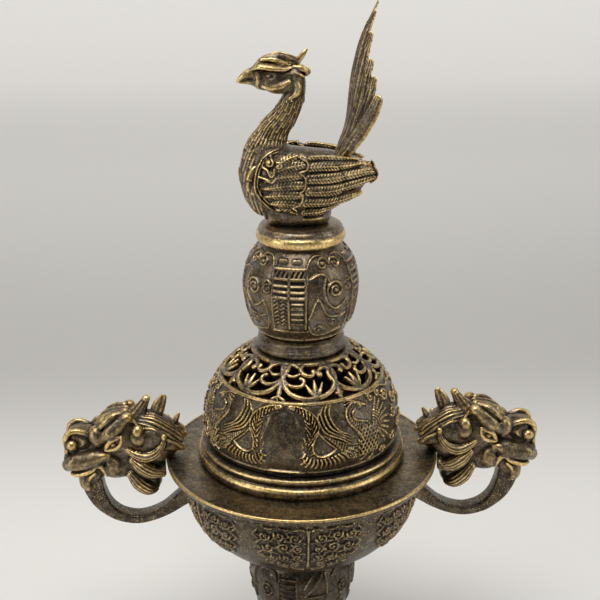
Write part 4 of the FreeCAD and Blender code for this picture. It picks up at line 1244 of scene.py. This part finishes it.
def dragon_clay():
    """The right handle's dragon head: snout outwards, jaws over the strap, mane swept back to the flange."""
    clay = Clay((46, -15, 102), (107, 15, 157), 0.32)

    def leaned(*points):
        """Points whose heights are given against the cheek's plane, as seen along the gaze down at it."""
        return [(x, y, z - 0.52 * (9.0 - y)) for x, y, z in points]

    # Skull, high forehead, muzzle, jaw and nape
    clay.ball((79.5, 0, 133.6), (10.8, 7.8, 12.8), 0)
    clay.ball((68, 0, 130.5), (12.6, 9.6, 12.6), 2.5)
    clay.ball((67.5, 0, 137.4), (9.6, 7.6, 8.4), 1.5)
    clay.ball((89, 0, 126.6), (9.4, 7.2, 7.8), 2.5)
    clay.ball((97.4, 0, 124.4), (6.4, 7.4, 7.6), 2)
    clay.ball((82, 0, 121.4), (9, 8.4, 7), 2)
    clay.ball((70, 0, 120), (9, 8.2, 9), 2.5)
    clay.ball((67.6, 0, 112.6), (5.2, 6, 5.6), 1.5)
    clay.ball((93.6, 0, 116.8), (6.2, 6.4, 5.6), 1.5)
    # Nostrils: a bead in a hollow under a rolled curl
    clay.ball((97.6, 2.4, 133.8), (5.2, 3.6, 4.6), 1.4)
    clay.ball((95.4, 1, 136.6), (5.2, 3.4, 2.6), 1.2)
    clay.ball((98.2, 0, 136.8), (4.4, 5, 2.6), 1)
    clay.rod(leaned((91.8, 4, 138.6), (95, 4.8, 140.4), (98.8, 5.2, 141.2), (102, 5.2, 139.8),
                    (103.2, 5, 136.6), (102.8, 5, 132.8), (103.6, 4, 128.6)),
             [1.3, 1.3, 1.3, 1.3, 1.2, 1.1, 0.9], 0.9)
    clay.ball((98.4, 6.8, 133.8), (3, 1.5, 2.8), 0.6, carve=True)
    clay.ball((100.4, 5.6, 132.9), (2.5, 2.5, 2.5), 0.25)
    # Upper lip: a fat lobe with two bulges, its edge turned up at the corner of the mouth
    clay.rod(leaned((102.8, 3.6, 125), (99.6, 5.6, 126.4), (94.6, 6.4, 127), (89.4, 7, 128.4),
                    (85.6, 7, 129)),
             [3, 4.1, 4.1, 3.7, 2.4], 1.4)
    clay.ball((99.6, 7, 125.4), (3.6, 2.3, 2.1), 0.9, tilt=-24)
    clay.ball((88.6, 8.4, 127.8), (3.8, 2, 1.8), 0.9, tilt=-24)
    clay.ball((89.4, 8.8, 119.4), (2.5, 2, 1.8), 0.6, carve=True)
    clay.rod(leaned((101.6, 3.6, 120.6), (99, 6, 119.8), (95, 7.6, 120.6), (92.2, 8.3, 121.9),
                    (90.2, 8.6, 123.9), (88.2, 8.7, 123.6), (86.6, 8.5, 121.2), (86, 8, 119.4)),
             [1, 1.1, 1.05, 1, 1, 1, 0.9, 0.7], 0.8)
    clay.rod(leaned((94.8, 4.9, 112.6), (94.6, 5.4, 115.8), (93.4, 6.6, 118.2), (91, 7.8, 120.4)),
             [0.6, 0.9, 0.9, 0.6], 0.4)
    clay.ball((95.6, 3.4, 114), (3.2, 3.4, 4.6), 1.2)
    # Brow bulb, the lobe of the second brow with its bulbous end, and furrows up the forehead
    clay.ball((89.4, 4.9, 136.4), (3.7, 3.8, 5), 0.9, tilt=-12)
    clay.rod(leaned((86.6, 6.6, 137.4), (83.2, 7.6, 140), (79.6, 7.4, 143.4), (76.6, 6.8, 146.6)),
             [2.2, 3.1, 3, 2.3], 0.7)
    clay.ball((75.8, 6.6, 145.9), (2.5, 2.4, 2.3), 0.4)
    clay.rod(leaned((88, 5.6, 142.4), (84.6, 6, 145.6), (81.4, 5.4, 148), (77.8, 4.2, 149.6)),
             [1, 1.7, 1.7, 1.1], 0.9)
    clay.rod(leaned((89, 1.6, 144.6), (86.2, 2, 147.2), (82, 1.8, 149), (77, 1.4, 150.6)), [1.2, 2, 2, 1.4],
             1.1)
    clay.rod(leaned((86.4, 8.4, 139.6), (83, 9, 142.4), (80, 8.6, 145.4)), [0.35, 0.6, 0.4], 0.6)
    # Eye: a dark almond under a sharp lid
    clay.ball((81.6, 10.2, 134.4), (2.6, 2.6, 2.1), 0.35, carve=True)
    clay.ball((82.2, 7.9, 133.9), (1.2, 1.2, 1.2), 0.2)
    clay.rod(leaned((85.6, 8.8, 131.6), (84.8, 9.1, 133.8), (83.2, 9.5, 135.8), (80.9, 9.6, 137),
                    (78.4, 9.6, 138)),
             [0.6, 1, 1.1, 0.95, 0.6], 0.4)
    clay.rod(leaned((78.4, 9.6, 138), (78.4, 9.8, 135.6), (79.6, 9.9, 133.2), (81.8, 9.7, 131.9),
                    (84.8, 9.1, 131.6)),
             [0.6, 0.7, 0.75, 0.75, 0.7], 0.5)
    # Ear: a gold bead on a dark bud in a hollow, and the smooth plate behind it
    clay.ball((72, 11.6, 140.6), (5.6, 3.8, 5.6), 1.2, carve=True)
    clay.ball((64.6, 7.6, 136), (5.6, 2.4, 4.6), 1.6)
    clay.ball((71, 8.2, 137.2), (3.7, 2.7, 4.4), 0.5)
    clay.ball((71.2, 9.2, 140.6), (2.5, 2.5, 2.8), 0.25, tilt=8)
    # Cheek
    clay.ball((83, 7.4, 122.4), (3.4, 2.5, 4.8), 1.3)
    clay.rod([(78.2, 10.2, 130), (77.6, 10.4, 124), (78.4, 9.4, 118)], [0.6, 1.2, 0.7], 0.9, carve=True)

    # Upper mane: strands combed back over the head, each lying on the skull, ending in blunt tips
    def crown(x, y):
        """The height of the clay's top over a place."""
        column = clay.field[int(round((x - clay.low[0]) / clay.step)),
                            int(round((y - clay.low[1]) / clay.step))]
        return clay.low[2] + clay.step * float(np.nonzero(column < 0)[0][-1])

    clay.ball((60, 0, 133), (8, 8.8, 8), 1)
    clay.rod([(60.6, 7.6, 133.4), (56, 7, 132.4), (52.4, 6.2, 131)], [2.6, 2.4, 1.5], 0.8)
    lanes = []
    for i in range(7):
        t = i / 6
        ends = ((75, 0.5 + 4.4 * t), (70.5, 0.6 + 5.9 * t), (64.5, 0.7 + 7.2 * t), (58.8, 0.7 + 7.7 * t),
                (54.6, 0.7 + 7.6 * t))
        lanes.append([(x, y, crown(x, y) + 0.1) for x, y in ends])
    for i, lane in enumerate(lanes):
        tip = (52.4 + 0.5 * (i % 2), lane[-1][1], lane[-1][2] - 1.7)
        clay.rod([*lane, tip], [0.45, 0.58, 0.70, 0.80, 0.80, 0.65], 0.08)
    # Crescent lock with its tip turned up, lower lock and beard
    clay.rod([(76.2, 9.8, 132), (72.4, 10.7, 130), (67.8, 11.2, 129), (63.4, 10.9, 130.6), (60.6, 10.3, 134),
              (59.8, 9.9, 137.6)], [0.9, 2, 2.5, 2.2, 1.6, 1], 0.35, flat=0.8, strands=5, groove=0.5)
    clay.ball((59.9, 9.9, 137.8), (1.2, 1.2, 1.5), 0.3)
    clay.rod([(74, 8.6, 126.4), (70.2, 9.7, 123.8), (66, 9.4, 121), (61.6, 8.4, 119.6)], [2, 3.3, 3.1, 2],
             0.8, strands=7, groove=0.42)
    clay.ball((61.6, 5.4, 120.4), (3, 4, 2.6), 1)
    clay.rod([(75.4, 6.8, 118.4), (71.8, 7, 114.2), (68.2, 5.8, 110.8), (66.2, 3.6, 109.8)],
             [2.2, 3.5, 3.5, 2.6], 0.9, strands=7, groove=0.42)
    # Horn, leaf and spike along the crest
    clay.rod([(71.6, 0, 144.8), (69.4, 0, 148.6), (67.9, 0, 151.2)], [4.4, 2.7, 1.8], 1.2, strands=5,
             groove=0.25)
    clay.ball((67.7, 0, 151.9), (1.9, 1.9, 1.6), 0.4)
    clay.rod([(63.8, 0, 143.8), (62.4, 0, 148.2), (61, 0, 150.8), (60.4, 0, 152.2)], [2.6, 3.1, 2.7, 1.7],
             0.7, flat=0.5)
    clay.rod([(62.6, 1.9, 146.4), (61.4, 1.6, 150.2), (60.6, 0.9, 152.8)], [0.7, 0.7, 0.4], 0.3, carve=True)
    clay.rod([(57.4, 0, 137.6), (55.4, 0, 141.2), (54, 0, 144)], [2.5, 1.7, 0.9], 0.6, flat=0.7, strands=3,
             groove=0.3)
    # Seat on the flange and room for the strap
    x, y, z = clay.places()
    clay.keep(-np.maximum(np.hypot(x, y) - (FLANGE_R + 0.3), z - RIM - 0.15))
    return clay


def make_dragon(name, clay, material, left):
    item = clay.mesh(name, mirror_x=left)
    place(item, "base", material, "rubbed_bronze", name)


# Peacock


def plumage():
    """The bird's side in relief, drawn on its middle plane as (x, height)."""
    art = Relief((-30, 228), (36, 306), lambda p: p, step=0.13)

    def vane(lean):
        def shape(across, run):
            comb = 0.5 + 0.5 * np.cos(TAU * (run / 1.3 - np.abs(across) * lean))
            return np.clip(1 - across**6, 0, 1) * (0.42 + 0.58 * comb)
        return shape

    # Coverts: leaf-shaped feathers fanning back from the shoulder, each with a quill and slanting barbs
    for x0, z0, x1, z1, half in (
        (-10.4, 257.6, -1.6, 262, 1.9), (-13, 254.6, 0.8, 258.4, 2.2), (-14.6, 251.6, -0.2, 254.4, 2.2),
        (-15.2, 248.4, 0.4, 250.2, 2.2), (-14.6, 245.2, -0.6, 246, 2.1), (-12.8, 242, -1, 241.8, 2),
        (-9.8, 239.2, -3.2, 238.2, 1.5),
    ):
        line = [(x0, z0), (0.5 * (x0 + x1), 0.5 * (z0 + z1) + 0.7), (x1, z1)]
        art.stroke(line, [0.8, 0.9 * half, half, 0.7 * half], 0.85, vane(1.1))
        art.stroke(line, 0.34, 1)
    art.stroke([(-6, 263.8), (-11, 262.6), (-14.6, 260.6), (-17, 257.6), (-18.4, 253.6), (-18.7, 249),
                (-17.2, 245), (-14.2, 241.2), (-11.4, 239)], 0.42, 0.95)
    art.stroke([(-9, 262), (-13.2, 260.8), (-15.8, 257.6), (-17.2, 253.4), (-17.5, 249.2), (-16, 245.4),
                (-13.4, 242.2)], 0.3, 0.7)
    art.stroke([(2.6, 263.6), (0.2, 262.2), (-0.6, 261), (1.6, 259.8), (2.4, 258), (1.4, 256.2),
                (-0.8, 255.4), (0.8, 253.8), (1.4, 252), (1.2, 250), (0.6, 248.4), (-0.8, 247.2), (0, 245.8),
                (0, 244), (-1.2, 242.2), (-3.6, 240.8), (-2.4, 239.6), (-2.2, 237.8)], 0.46, 1.15)
    # Curls at the shoulder
    art.curl((-13, 259), 1.7, 60, -1.1, 0.55, 1.25, bead=0.7)
    art.curl((-9.4, 258), 1.5, 120, -1, 0.55, 1.2, bead=0.6)
    art.stroke([(-15.6, 257.2), (-13.6, 256), (-12.4, 253.8), (-11.2, 254.6), (-11, 256.6)],
               [0.55, 0.8, 0.55], 1.25)
    art.stroke([(-16.8, 253.2), (-14.4, 252.6), (-12, 251.4), (-10.6, 253)], [0.5, 0.7, 0.5], 1.2)
    # Long feathers behind them, with a quill, slanting barbs and a dark gap under each
    long_ones = (
        ([(3.4, 261.2), (10, 261), (18, 259.8), (23, 258.6)], [1.2, 1.5, 1.3, 0.5]),
        ([(3.2, 257.2), (10, 257.2), (18, 256.6), (25.4, 256.8)], [1.8, 2, 1.7, 0.7]),
        ([(2.8, 252.4), (10, 252.4), (18, 252.8), (25, 253.4), (29, 253.2)], [1.9, 2.2, 2.1, 1.9, 1.3]),
        ([(2.8, 247.4), (10, 247.2), (18, 248), (25, 249.4), (29.4, 250.4)], [1.9, 2.2, 2.2, 1.9, 1.3]),
        ([(1.8, 242.6), (9, 242.2), (17, 242.8), (24, 244.6)], [1.9, 2, 1.9, 1]),
        ([(1, 238.2), (8, 238), (15, 239)], [1.5, 1.6, 0.9]),
    )
    for points, _ in long_ones:
        art.stroke([(x, z - 2.3) for x, z in points[:-1]], 0.55, -0.4, round_bar, carve=True)
    for points, width in long_ones:
        art.stroke(points, width, 0.85, vane(1.3))
        art.stroke(points, 0.34, 1.05)
    art.stroke([(25, 256.4), (28.8, 255.6), (30.8, 253), (30.4, 250), (27.6, 248)], 0.42, 1.1)
    art.soften()
    return art


def peacock_clay():
    """A standing peacock facing left: breast and belly, arched neck, crested head, folded wings."""
    clay = Clay((-27.5, -18.9, PEDESTAL_TOP - 0.4), (33.5, 18.9, 303), 0.34)
    clay.loft([(-24.6, 251, 2.6, 2.6), (-24, 250.9, 5.6, 4.8), (-22.4, 250.2, 9.4, 7.8),
               (-19, 249.4, 13.4, 11), (-14, 248.6, 15, 13.4), (-6, 248, 14.8, 15), (3, 247.6, 14.2, 14.6),
               (11, 248.2, 12.6, 12.6), (18, 249.6, 9.8, 9.4), (24, 250.4, 6.6, 5.4), (27.4, 250.6, 2.6, 2.2),
               (28, 250.6, 0.5, 0.5)])
    clay.rod([(-12.4, 0, 254), (-13.4, 0, 261), (-10.8, 0, 268.6), (-6.6, 0, 274.4), (-3.8, 0, 279.4),
              (-2.2, 0, 285), (-2.6, 0, 290)], [11.8, 9.4, 6.6, 5.3, 4.6, 4.4, 4.4], 2.5)
    # Foot of the bird, drawn in above the pedestal
    clay.loft([(-13.6, 234, 0.8, 2), (-12.6, 234.6, 4, 8), (-6, 235, 5.2, 11.2), (0, 235, 5.2, 11.8),
               (7, 235, 5, 10.2), (10.8, 234.4, 3.6, 6), (12.2, 233.6, 0.8, 2)], 4)
    # Head
    clay.ball((-9.4, 0, 289.8), (8, 4.7, 5), 1.5, tilt=4)
    clay.ball((-2.8, 0, 288.6), (4.6, 4.6, 5.6), 1.2)
    clay.ball((-14, 0, 288.6), (4.6, 3.5, 3.6), 1)
    clay.rod([(-15.4, 0, 291), (-19, 0, 291.6), (-22.2, 0, 290.6), (-24.7, 0, 288.6)], [3.3, 2.5, 1.7, 0.6],
             0.3)
    clay.rod([(-15.4, 0, 288.2), (-19, 0, 288.6), (-22, 0, 288.4), (-23.8, 0, 288.2)], [2.7, 1.8, 1.1, 0.5],
             0.3)
    clay.rod([(-17.8, 2.2, 289.2), (-21, 1.6, 289.1), (-23.6, 0.9, 288.6)], [0.3, 0.3, 0.2], 0.2, carve=True)
    clay.ball((-16.4, 0, 289.6), (2, 3.6, 3.8), 0.8)
    # Eye, smooth cheek and the rounded lobe behind it
    clay.ball((-12.6, 4.9, 291.2), (2.8, 1.3, 1.4), 0.5, carve=True)
    clay.ball((-12.4, 3.3, 291), (1, 0.9, 0.8), 0.3)
    clay.ball((-8.6, 3.2, 287.4), (5.8, 2.2, 3.4), 0.8)
    clay.rod([(-15, 3.4, 287), (-11.6, 4.6, 286.6), (-7.8, 5, 287.2), (-4.6, 4.8, 289)], [0.5, 1, 1.1, 0.6],
             0.9)
    clay.rod([(-3, 3.7, 290.2), (-1.2, 4, 287.4), (-1.6, 4.1, 284.4), (-4, 4, 282.4)], [1, 1.5, 1.5, 0.9],
             0.35)
    # Crest: a plate over each eye, a comb, an upright plume and a curl at the nape
    clay.rod([(-19, 1.6, 293.4), (-15.6, 3.2, 294.8), (-11, 3.9, 294.4), (-6.4, 3.8, 293.8),
              (-3.4, 3, 294.4)],
             [0.6, 1.7, 2, 1.5, 0.7], 0.35, flat=0.6, across=(0, 0.4, 1))
    clay.rod([(-18.4, 0, 293.6), (-14.8, 0, 296.4), (-9.6, 0, 297.6), (-4.4, 0, 296)], [0.8, 1.8, 2, 1], 0.5,
             flat=1)
    clay.rod([(-15.2, 1.4, 297.2), (-10.4, 2.2, 297.2), (-5.4, 2.2, 295.6)], [0.5, 1, 0.6], 0.3)
    clay.rod([(-13.6, 0, 298), (-9.4, 0, 298.8), (-4.6, 0, 297.8), (-1, 0, 296.6)], [0.9, 1.5, 1.6, 1.2], 0.5,
             flat=0.7, strands=3, groove=0.3)
    clay.rod([(-2.4, 0, 294.6), (-0.4, 0, 297), (1.4, 0, 299.2), (2.9, 0, 301)], [1.3, 1.3, 1.1, 0.4], 0.35,
             flat=0.7)
    clay.rod([(-2.6, 1.6, 294.2), (0.4, 2, 293.6), (2.4, 1.6, 292.6), (2.6, 1, 291)], [0.9, 1.3, 1.1, 0.6],
             0.3)
    clay.rod([(-3.2, 3, 292.2), (-0.6, 3.2, 291.4), (1.4, 2.6, 290.6)], [0.6, 1, 0.5], 0.3)
    clay.ball((3, 0, 292.2), (1.3, 1.2, 1.5), 0.3)
    # Folded wings standing off the flanks
    for points, radii, flat in (
        ([(-15.5, 11.6, 251), (-9, 13.6, 251), (-1, 14, 250.4), (8, 13.2, 250)], [7, 10.4, 10.6, 8.4], 0.22),
        ([(-1, 14, 256), (9, 12.2, 256.4), (18, 9, 256.4), (24.6, 6.4, 256.4)], [4.2, 4, 3.2, 1], 0.34),
        ([(-1, 14.2, 250.2), (9, 12.8, 249.8), (18, 9.8, 250.4), (25, 7.2, 251.6), (28.6, 5.8, 251.8)],
         [4, 3.8, 3.6, 3.3, 2.4], 0.34),
        ([(0, 13.2, 244.2), (9, 12, 243.8), (17, 9.4, 243.8), (23, 7.2, 244.8)], [3.2, 3, 2.6, 1.4], 0.36),
    ):
        clay.rod(points, radii, 0.5, flat=flat, across=(0.18, 1, 0))
    # Feathers in relief, cut square to the middle plane
    x, y, z = clay.places()
    art = plumage()
    drawn = art.at(x[:, 0, :], z[:, 0, :])[:, None, :]
    flank = np.clip((np.abs(y) - 6.4 + 0.32 * np.clip(x - 6, 0, 20)) / 2.2, 0, 1)
    head = np.clip((266.0 - z) / 3, 0, 1)
    clay.field -= (drawn * flank * head).astype(np.float32)
    # Streaked feathers of neck, breast and belly: rows round the neck's line, offset like shingles
    spine = spline([(-16, 236), (-18, 244), (-16.6, 252), (-13.4, 261), (-10.8, 268.6), (-6.6, 274.4),
                    (-3.8, 279.4), (-2.2, 286)], step=0.8)
    part_x = clay.low[0] + clay.step * np.arange(clay.shape[0])
    part_z = clay.low[2] + clay.step * np.arange(clay.shape[2])
    _, run, offset, course, _ = near_line(spine, [part_x, part_z], 20)
    aside = (course[0] * offset[1] - course[1] * offset[0])[:, None, :]
    run = run[:, None, :]
    girth = np.arctan2(np.abs(y), aside)
    size = 0.5 + 0.5 * np.clip((30.0 - run) / 20, 0, 1)
    lanes = 16.0
    lane = girth / math.pi * lanes
    odd = np.floor(lane) % 2
    down = run / (11.0 * size + 3) + 0.5 * odd + 0.21 * np.sin(7.0 * np.floor(lane))
    across = (lane % 1) * 2 - 1
    drop = down % 1.0
    narrow = 0.25 + 0.75 * np.sqrt(np.clip(1 - drop, 0, 1))
    ridge = np.sqrt(np.clip(1 - (across / narrow)**2, 0, 1)) * (1 - 0.5 * drop)
    fine = 0.5 + 0.5 * np.cos(across * math.pi * 3)
    wing = np.clip((-x - 17.6 + 0.35 * np.clip(256 - z, 0, 8)) / 1.5, 0, 1)
    above = np.clip((z - 263) / 2, 0, 1)
    nape = np.clip((283.0 - z) / 2, 0, 1)
    mask = np.maximum(wing, above) * nape
    clay.field -= (mask * (0.70 * ridge + 0.10 * fine - 0.30)).astype(np.float32)
    clay.keep(PEDESTAL_TOP - z)
    clay.keep(LID_BOLT_HOLE_R - np.hypot(x, y) - np.maximum(z - PEDESTAL_TOP - 8, 0) * 4)
    return clay


def fan_shape(z):
    """The fan's section at a height: where its middle and its edges stand along X, and its half width."""
    heights = (256, 262, 270, 278, 286, 292, 297.7, 302, 306.5, 312, 320)
    middle = np.interp(z, heights, (13, 15.6, 18.6, 19.8, 20.4, 21.2, 22.4, 23.4, 24.8, 27.2, 31))
    sides = np.interp(z, heights, (17.5, 22.8, 27.6, 30.2, 31.2, 31, 31, 30.8, 30.8, 31.2, 32.2))
    half = np.interp(z, heights, (4.5, 6.2, 9.4, 11.8, 12.6, 11.2, 9.6, 8.2, 6.8, 4.6, 2))
    return middle, sides, half


def make_tail(material):
    """Raised fan of narrow feathers, each lapping the one before, with a rounded tip and combed barbs."""
    clay = Clay((10, -16.5, 255), (35, 16.5, 321), 0.29)
    clay.rod([(16, 0, 255.6), (18, 0, 260), (20, 0, 266)], [4.8, 3.4, 1.6], 1.4, flat=0.8, across=(1, 0, 0),
             strands=5, groove=0.4)
    for share, top, radii, lift in (
        (0.00, 318.4, [1.6, 2.6, 2.9, 2.8, 2.4, 1.8, 1.3], 0),
        (0.34, 315, [1.4, 2.2, 2.6, 2.6, 2.4, 2, 1.2], 0.1),
        (0.50, 306.6, [1.4, 2.2, 2.6, 2.6, 2.5, 2.3, 1.8], 0.5),
        (0.66, 296.6, [1.3, 2.1, 2.6, 2.7, 2.8, 2.6, 1.9], 0.9),
        (0.82, 290.4, [1.3, 2, 2.4, 2.5, 2.5, 2.3, 1.7], 1.1),
        (0.96, 282.6, [1.8, 2.6, 3, 3.2, 3.2, 3.1, 2.5], 1.8),
    ):
        z = np.linspace(257, top, 10)
        middle, sides, half = fan_shape(z)
        u = share * np.linspace(0.72, 1, 10) + 0.30 * min(share, 1 - share) * np.linspace(0, 1, 10)**3
        y = half * u
        slope = 2 * (sides - middle) / half**2 * y
        steep = float(slope[3:8].mean())
        x = middle + (sides - middle) * u**2
        out = np.stack([np.ones(10), -slope, np.zeros(10)], axis=1) / np.hypot(1, slope)[:, None]
        line = np.stack([x, y, z], axis=1) - out * lift
        face = (1, -steep, 0)
        clay.rod([tuple(q) for q in line], radii, 0.12, flat=0.34, across=face, strands=6,
                 groove=0.46 if lift < 1.5 else 0.16)
        quill = line - out * 0.62
        clay.rod([tuple(q) for q in quill[1:-1]], [0.5, 0.5, 0.45, 0.3], 0.2)
    place(clay.mesh("peacock_tail"), "lid", material, "rubbed_bronze", "peacock_tail")


# The burner

make_camera()
make_studio()

# The ground's tone is set per piece as painted light and shade. The copies for the neck ring, ball, pedestal,
# stem collar, dragon heads and bird are lightened as painted light.
PATINA_PAINTED_LIGHT = bronze("patinated_bronze", rub=0.9, gold_from=0.07, gold_to=0.26, speckle=0.7, tone=1.3)
RUBBED = bronze("rubbed_bronze", rub=1.0, gold_from=0.03, gold_to=0.22, speckle=0.7, tone=1.05)
GILT_PAINTED_LIGHT = bronze("gilt_bronze", rub=1.0, gold_from=0.03, gold_to=0.20, speckle=0.8, tone=1.8)
CAST_PAINTED_LIGHT = bronze("smudged_painted_light_bronze", rub=1.0, gold_from=0.03, gold_to=0.20, speckle=0.7, tone=1.22, bulge=0.16)
# These two are darkened as painted shade: one for the bowl and arms, one for the knob and foot.
SHADED = bronze("painted_shade_bronze", rub=0.9, gold_from=0.11, gold_to=0.38, speckle=1.0, tone=0.8)
STEM_SHADED = bronze("painted_shade_stem_bronze", rub=0.8, gold_from=0.13, gold_to=0.42, speckle=0.5, tone=0.5)
LINER_COPPER = copper("copper_liner")
STEEL = steel("steel_fasteners")

make_foot(STEM_SHADED)
make_ring("stem_collar", "base", GILT_PAINTED_LIGHT, "gilt_bronze", BOLT_HOLE_R, FOOT_TOP, COLLAR_TOP, [
    [(16.6, 0), (18.1, 0.7), (18.4, 1.75), (17.9, 2.9), (16.7, 3.5)],
    [(16.7, 3.6), (17.4, 4.4), (17.0, 5.4), (15.4, COLLAR_TOP - FOOT_TOP)],
], crest=2.2)
make_ball("stem_knob", "base", STEM_SHADED, "patinated_bronze",
          [(14.5, COLLAR_TOP), (18, 43), (20.6, 49), (22.8, 56), (23.7, 63), (23.4, 70), (19.8, KNOB_TOP)],
          knob_ornament(22.0), 22.0, WALL)
make_bowl(SHADED)
make_liner(LINER_COPPER)
make_dome_wall(RUBBED)
make_dome_crown(RUBBED)
make_ring("neck_ring", "lid", PATINA_PAINTED_LIGHT, "patinated_bronze", BOLT_HOLE_R, CROWN, NECK_TOP, [
    [(17.4, 0), (18.9, 0.7), (19.2, 1.6), (19.1, 2.6), (18.5, 3.5)],
    [(18.5, 3.6), (18.5, 4.6), (18.2, 5.8), (17.0, NECK_TOP - CROWN)],
])
make_ball("lid_ball", "lid", PATINA_PAINTED_LIGHT, "patinated_bronze",
          [(15.6, NECK_TOP), (18.9, 186), (21.6, 191), (23.6, 201), (23.5, 208), (21.2, 216), (16, BALL_TOP)],
          ball_ornament(22.0), 22.0, LID_WALL)
make_ring("finial_pedestal", "lid", GILT_PAINTED_LIGHT, "gilt_bronze", LID_BOLT_HOLE_R, BALL_TOP, PEDESTAL_TOP, [
    [(16.4, 0), (17.9, 0.7), (18.6, 2.4), (18.5, 4.0), (17.6, 5.2)],
    [(17.6, 5.3), (17.5, 6.0), (16.6, 7.2), (14.6, PEDESTAL_TOP - BALL_TOP)],
], crest=2.9)
for end, sign in (("right", 1), ("left", -1)):
    make_arm(f"{end}_handle_arm", sign, SHADED)
DRAGON = dragon_clay()
make_dragon("right_dragon_head", DRAGON, CAST_PAINTED_LIGHT, left=False)
make_dragon("left_dragon_head", DRAGON, CAST_PAINTED_LIGHT, left=True)
place(peacock_clay().mesh("peacock_body"), "lid", CAST_PAINTED_LIGHT, "rubbed_bronze", "peacock_body")
make_tail(CAST_PAINTED_LIGHT)

for node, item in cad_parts.items():
    if "bolt" in node or "washer" in node or "screw" in node or "nut" in node:
        for slot in item.material_slots:
            slot.material = STEEL
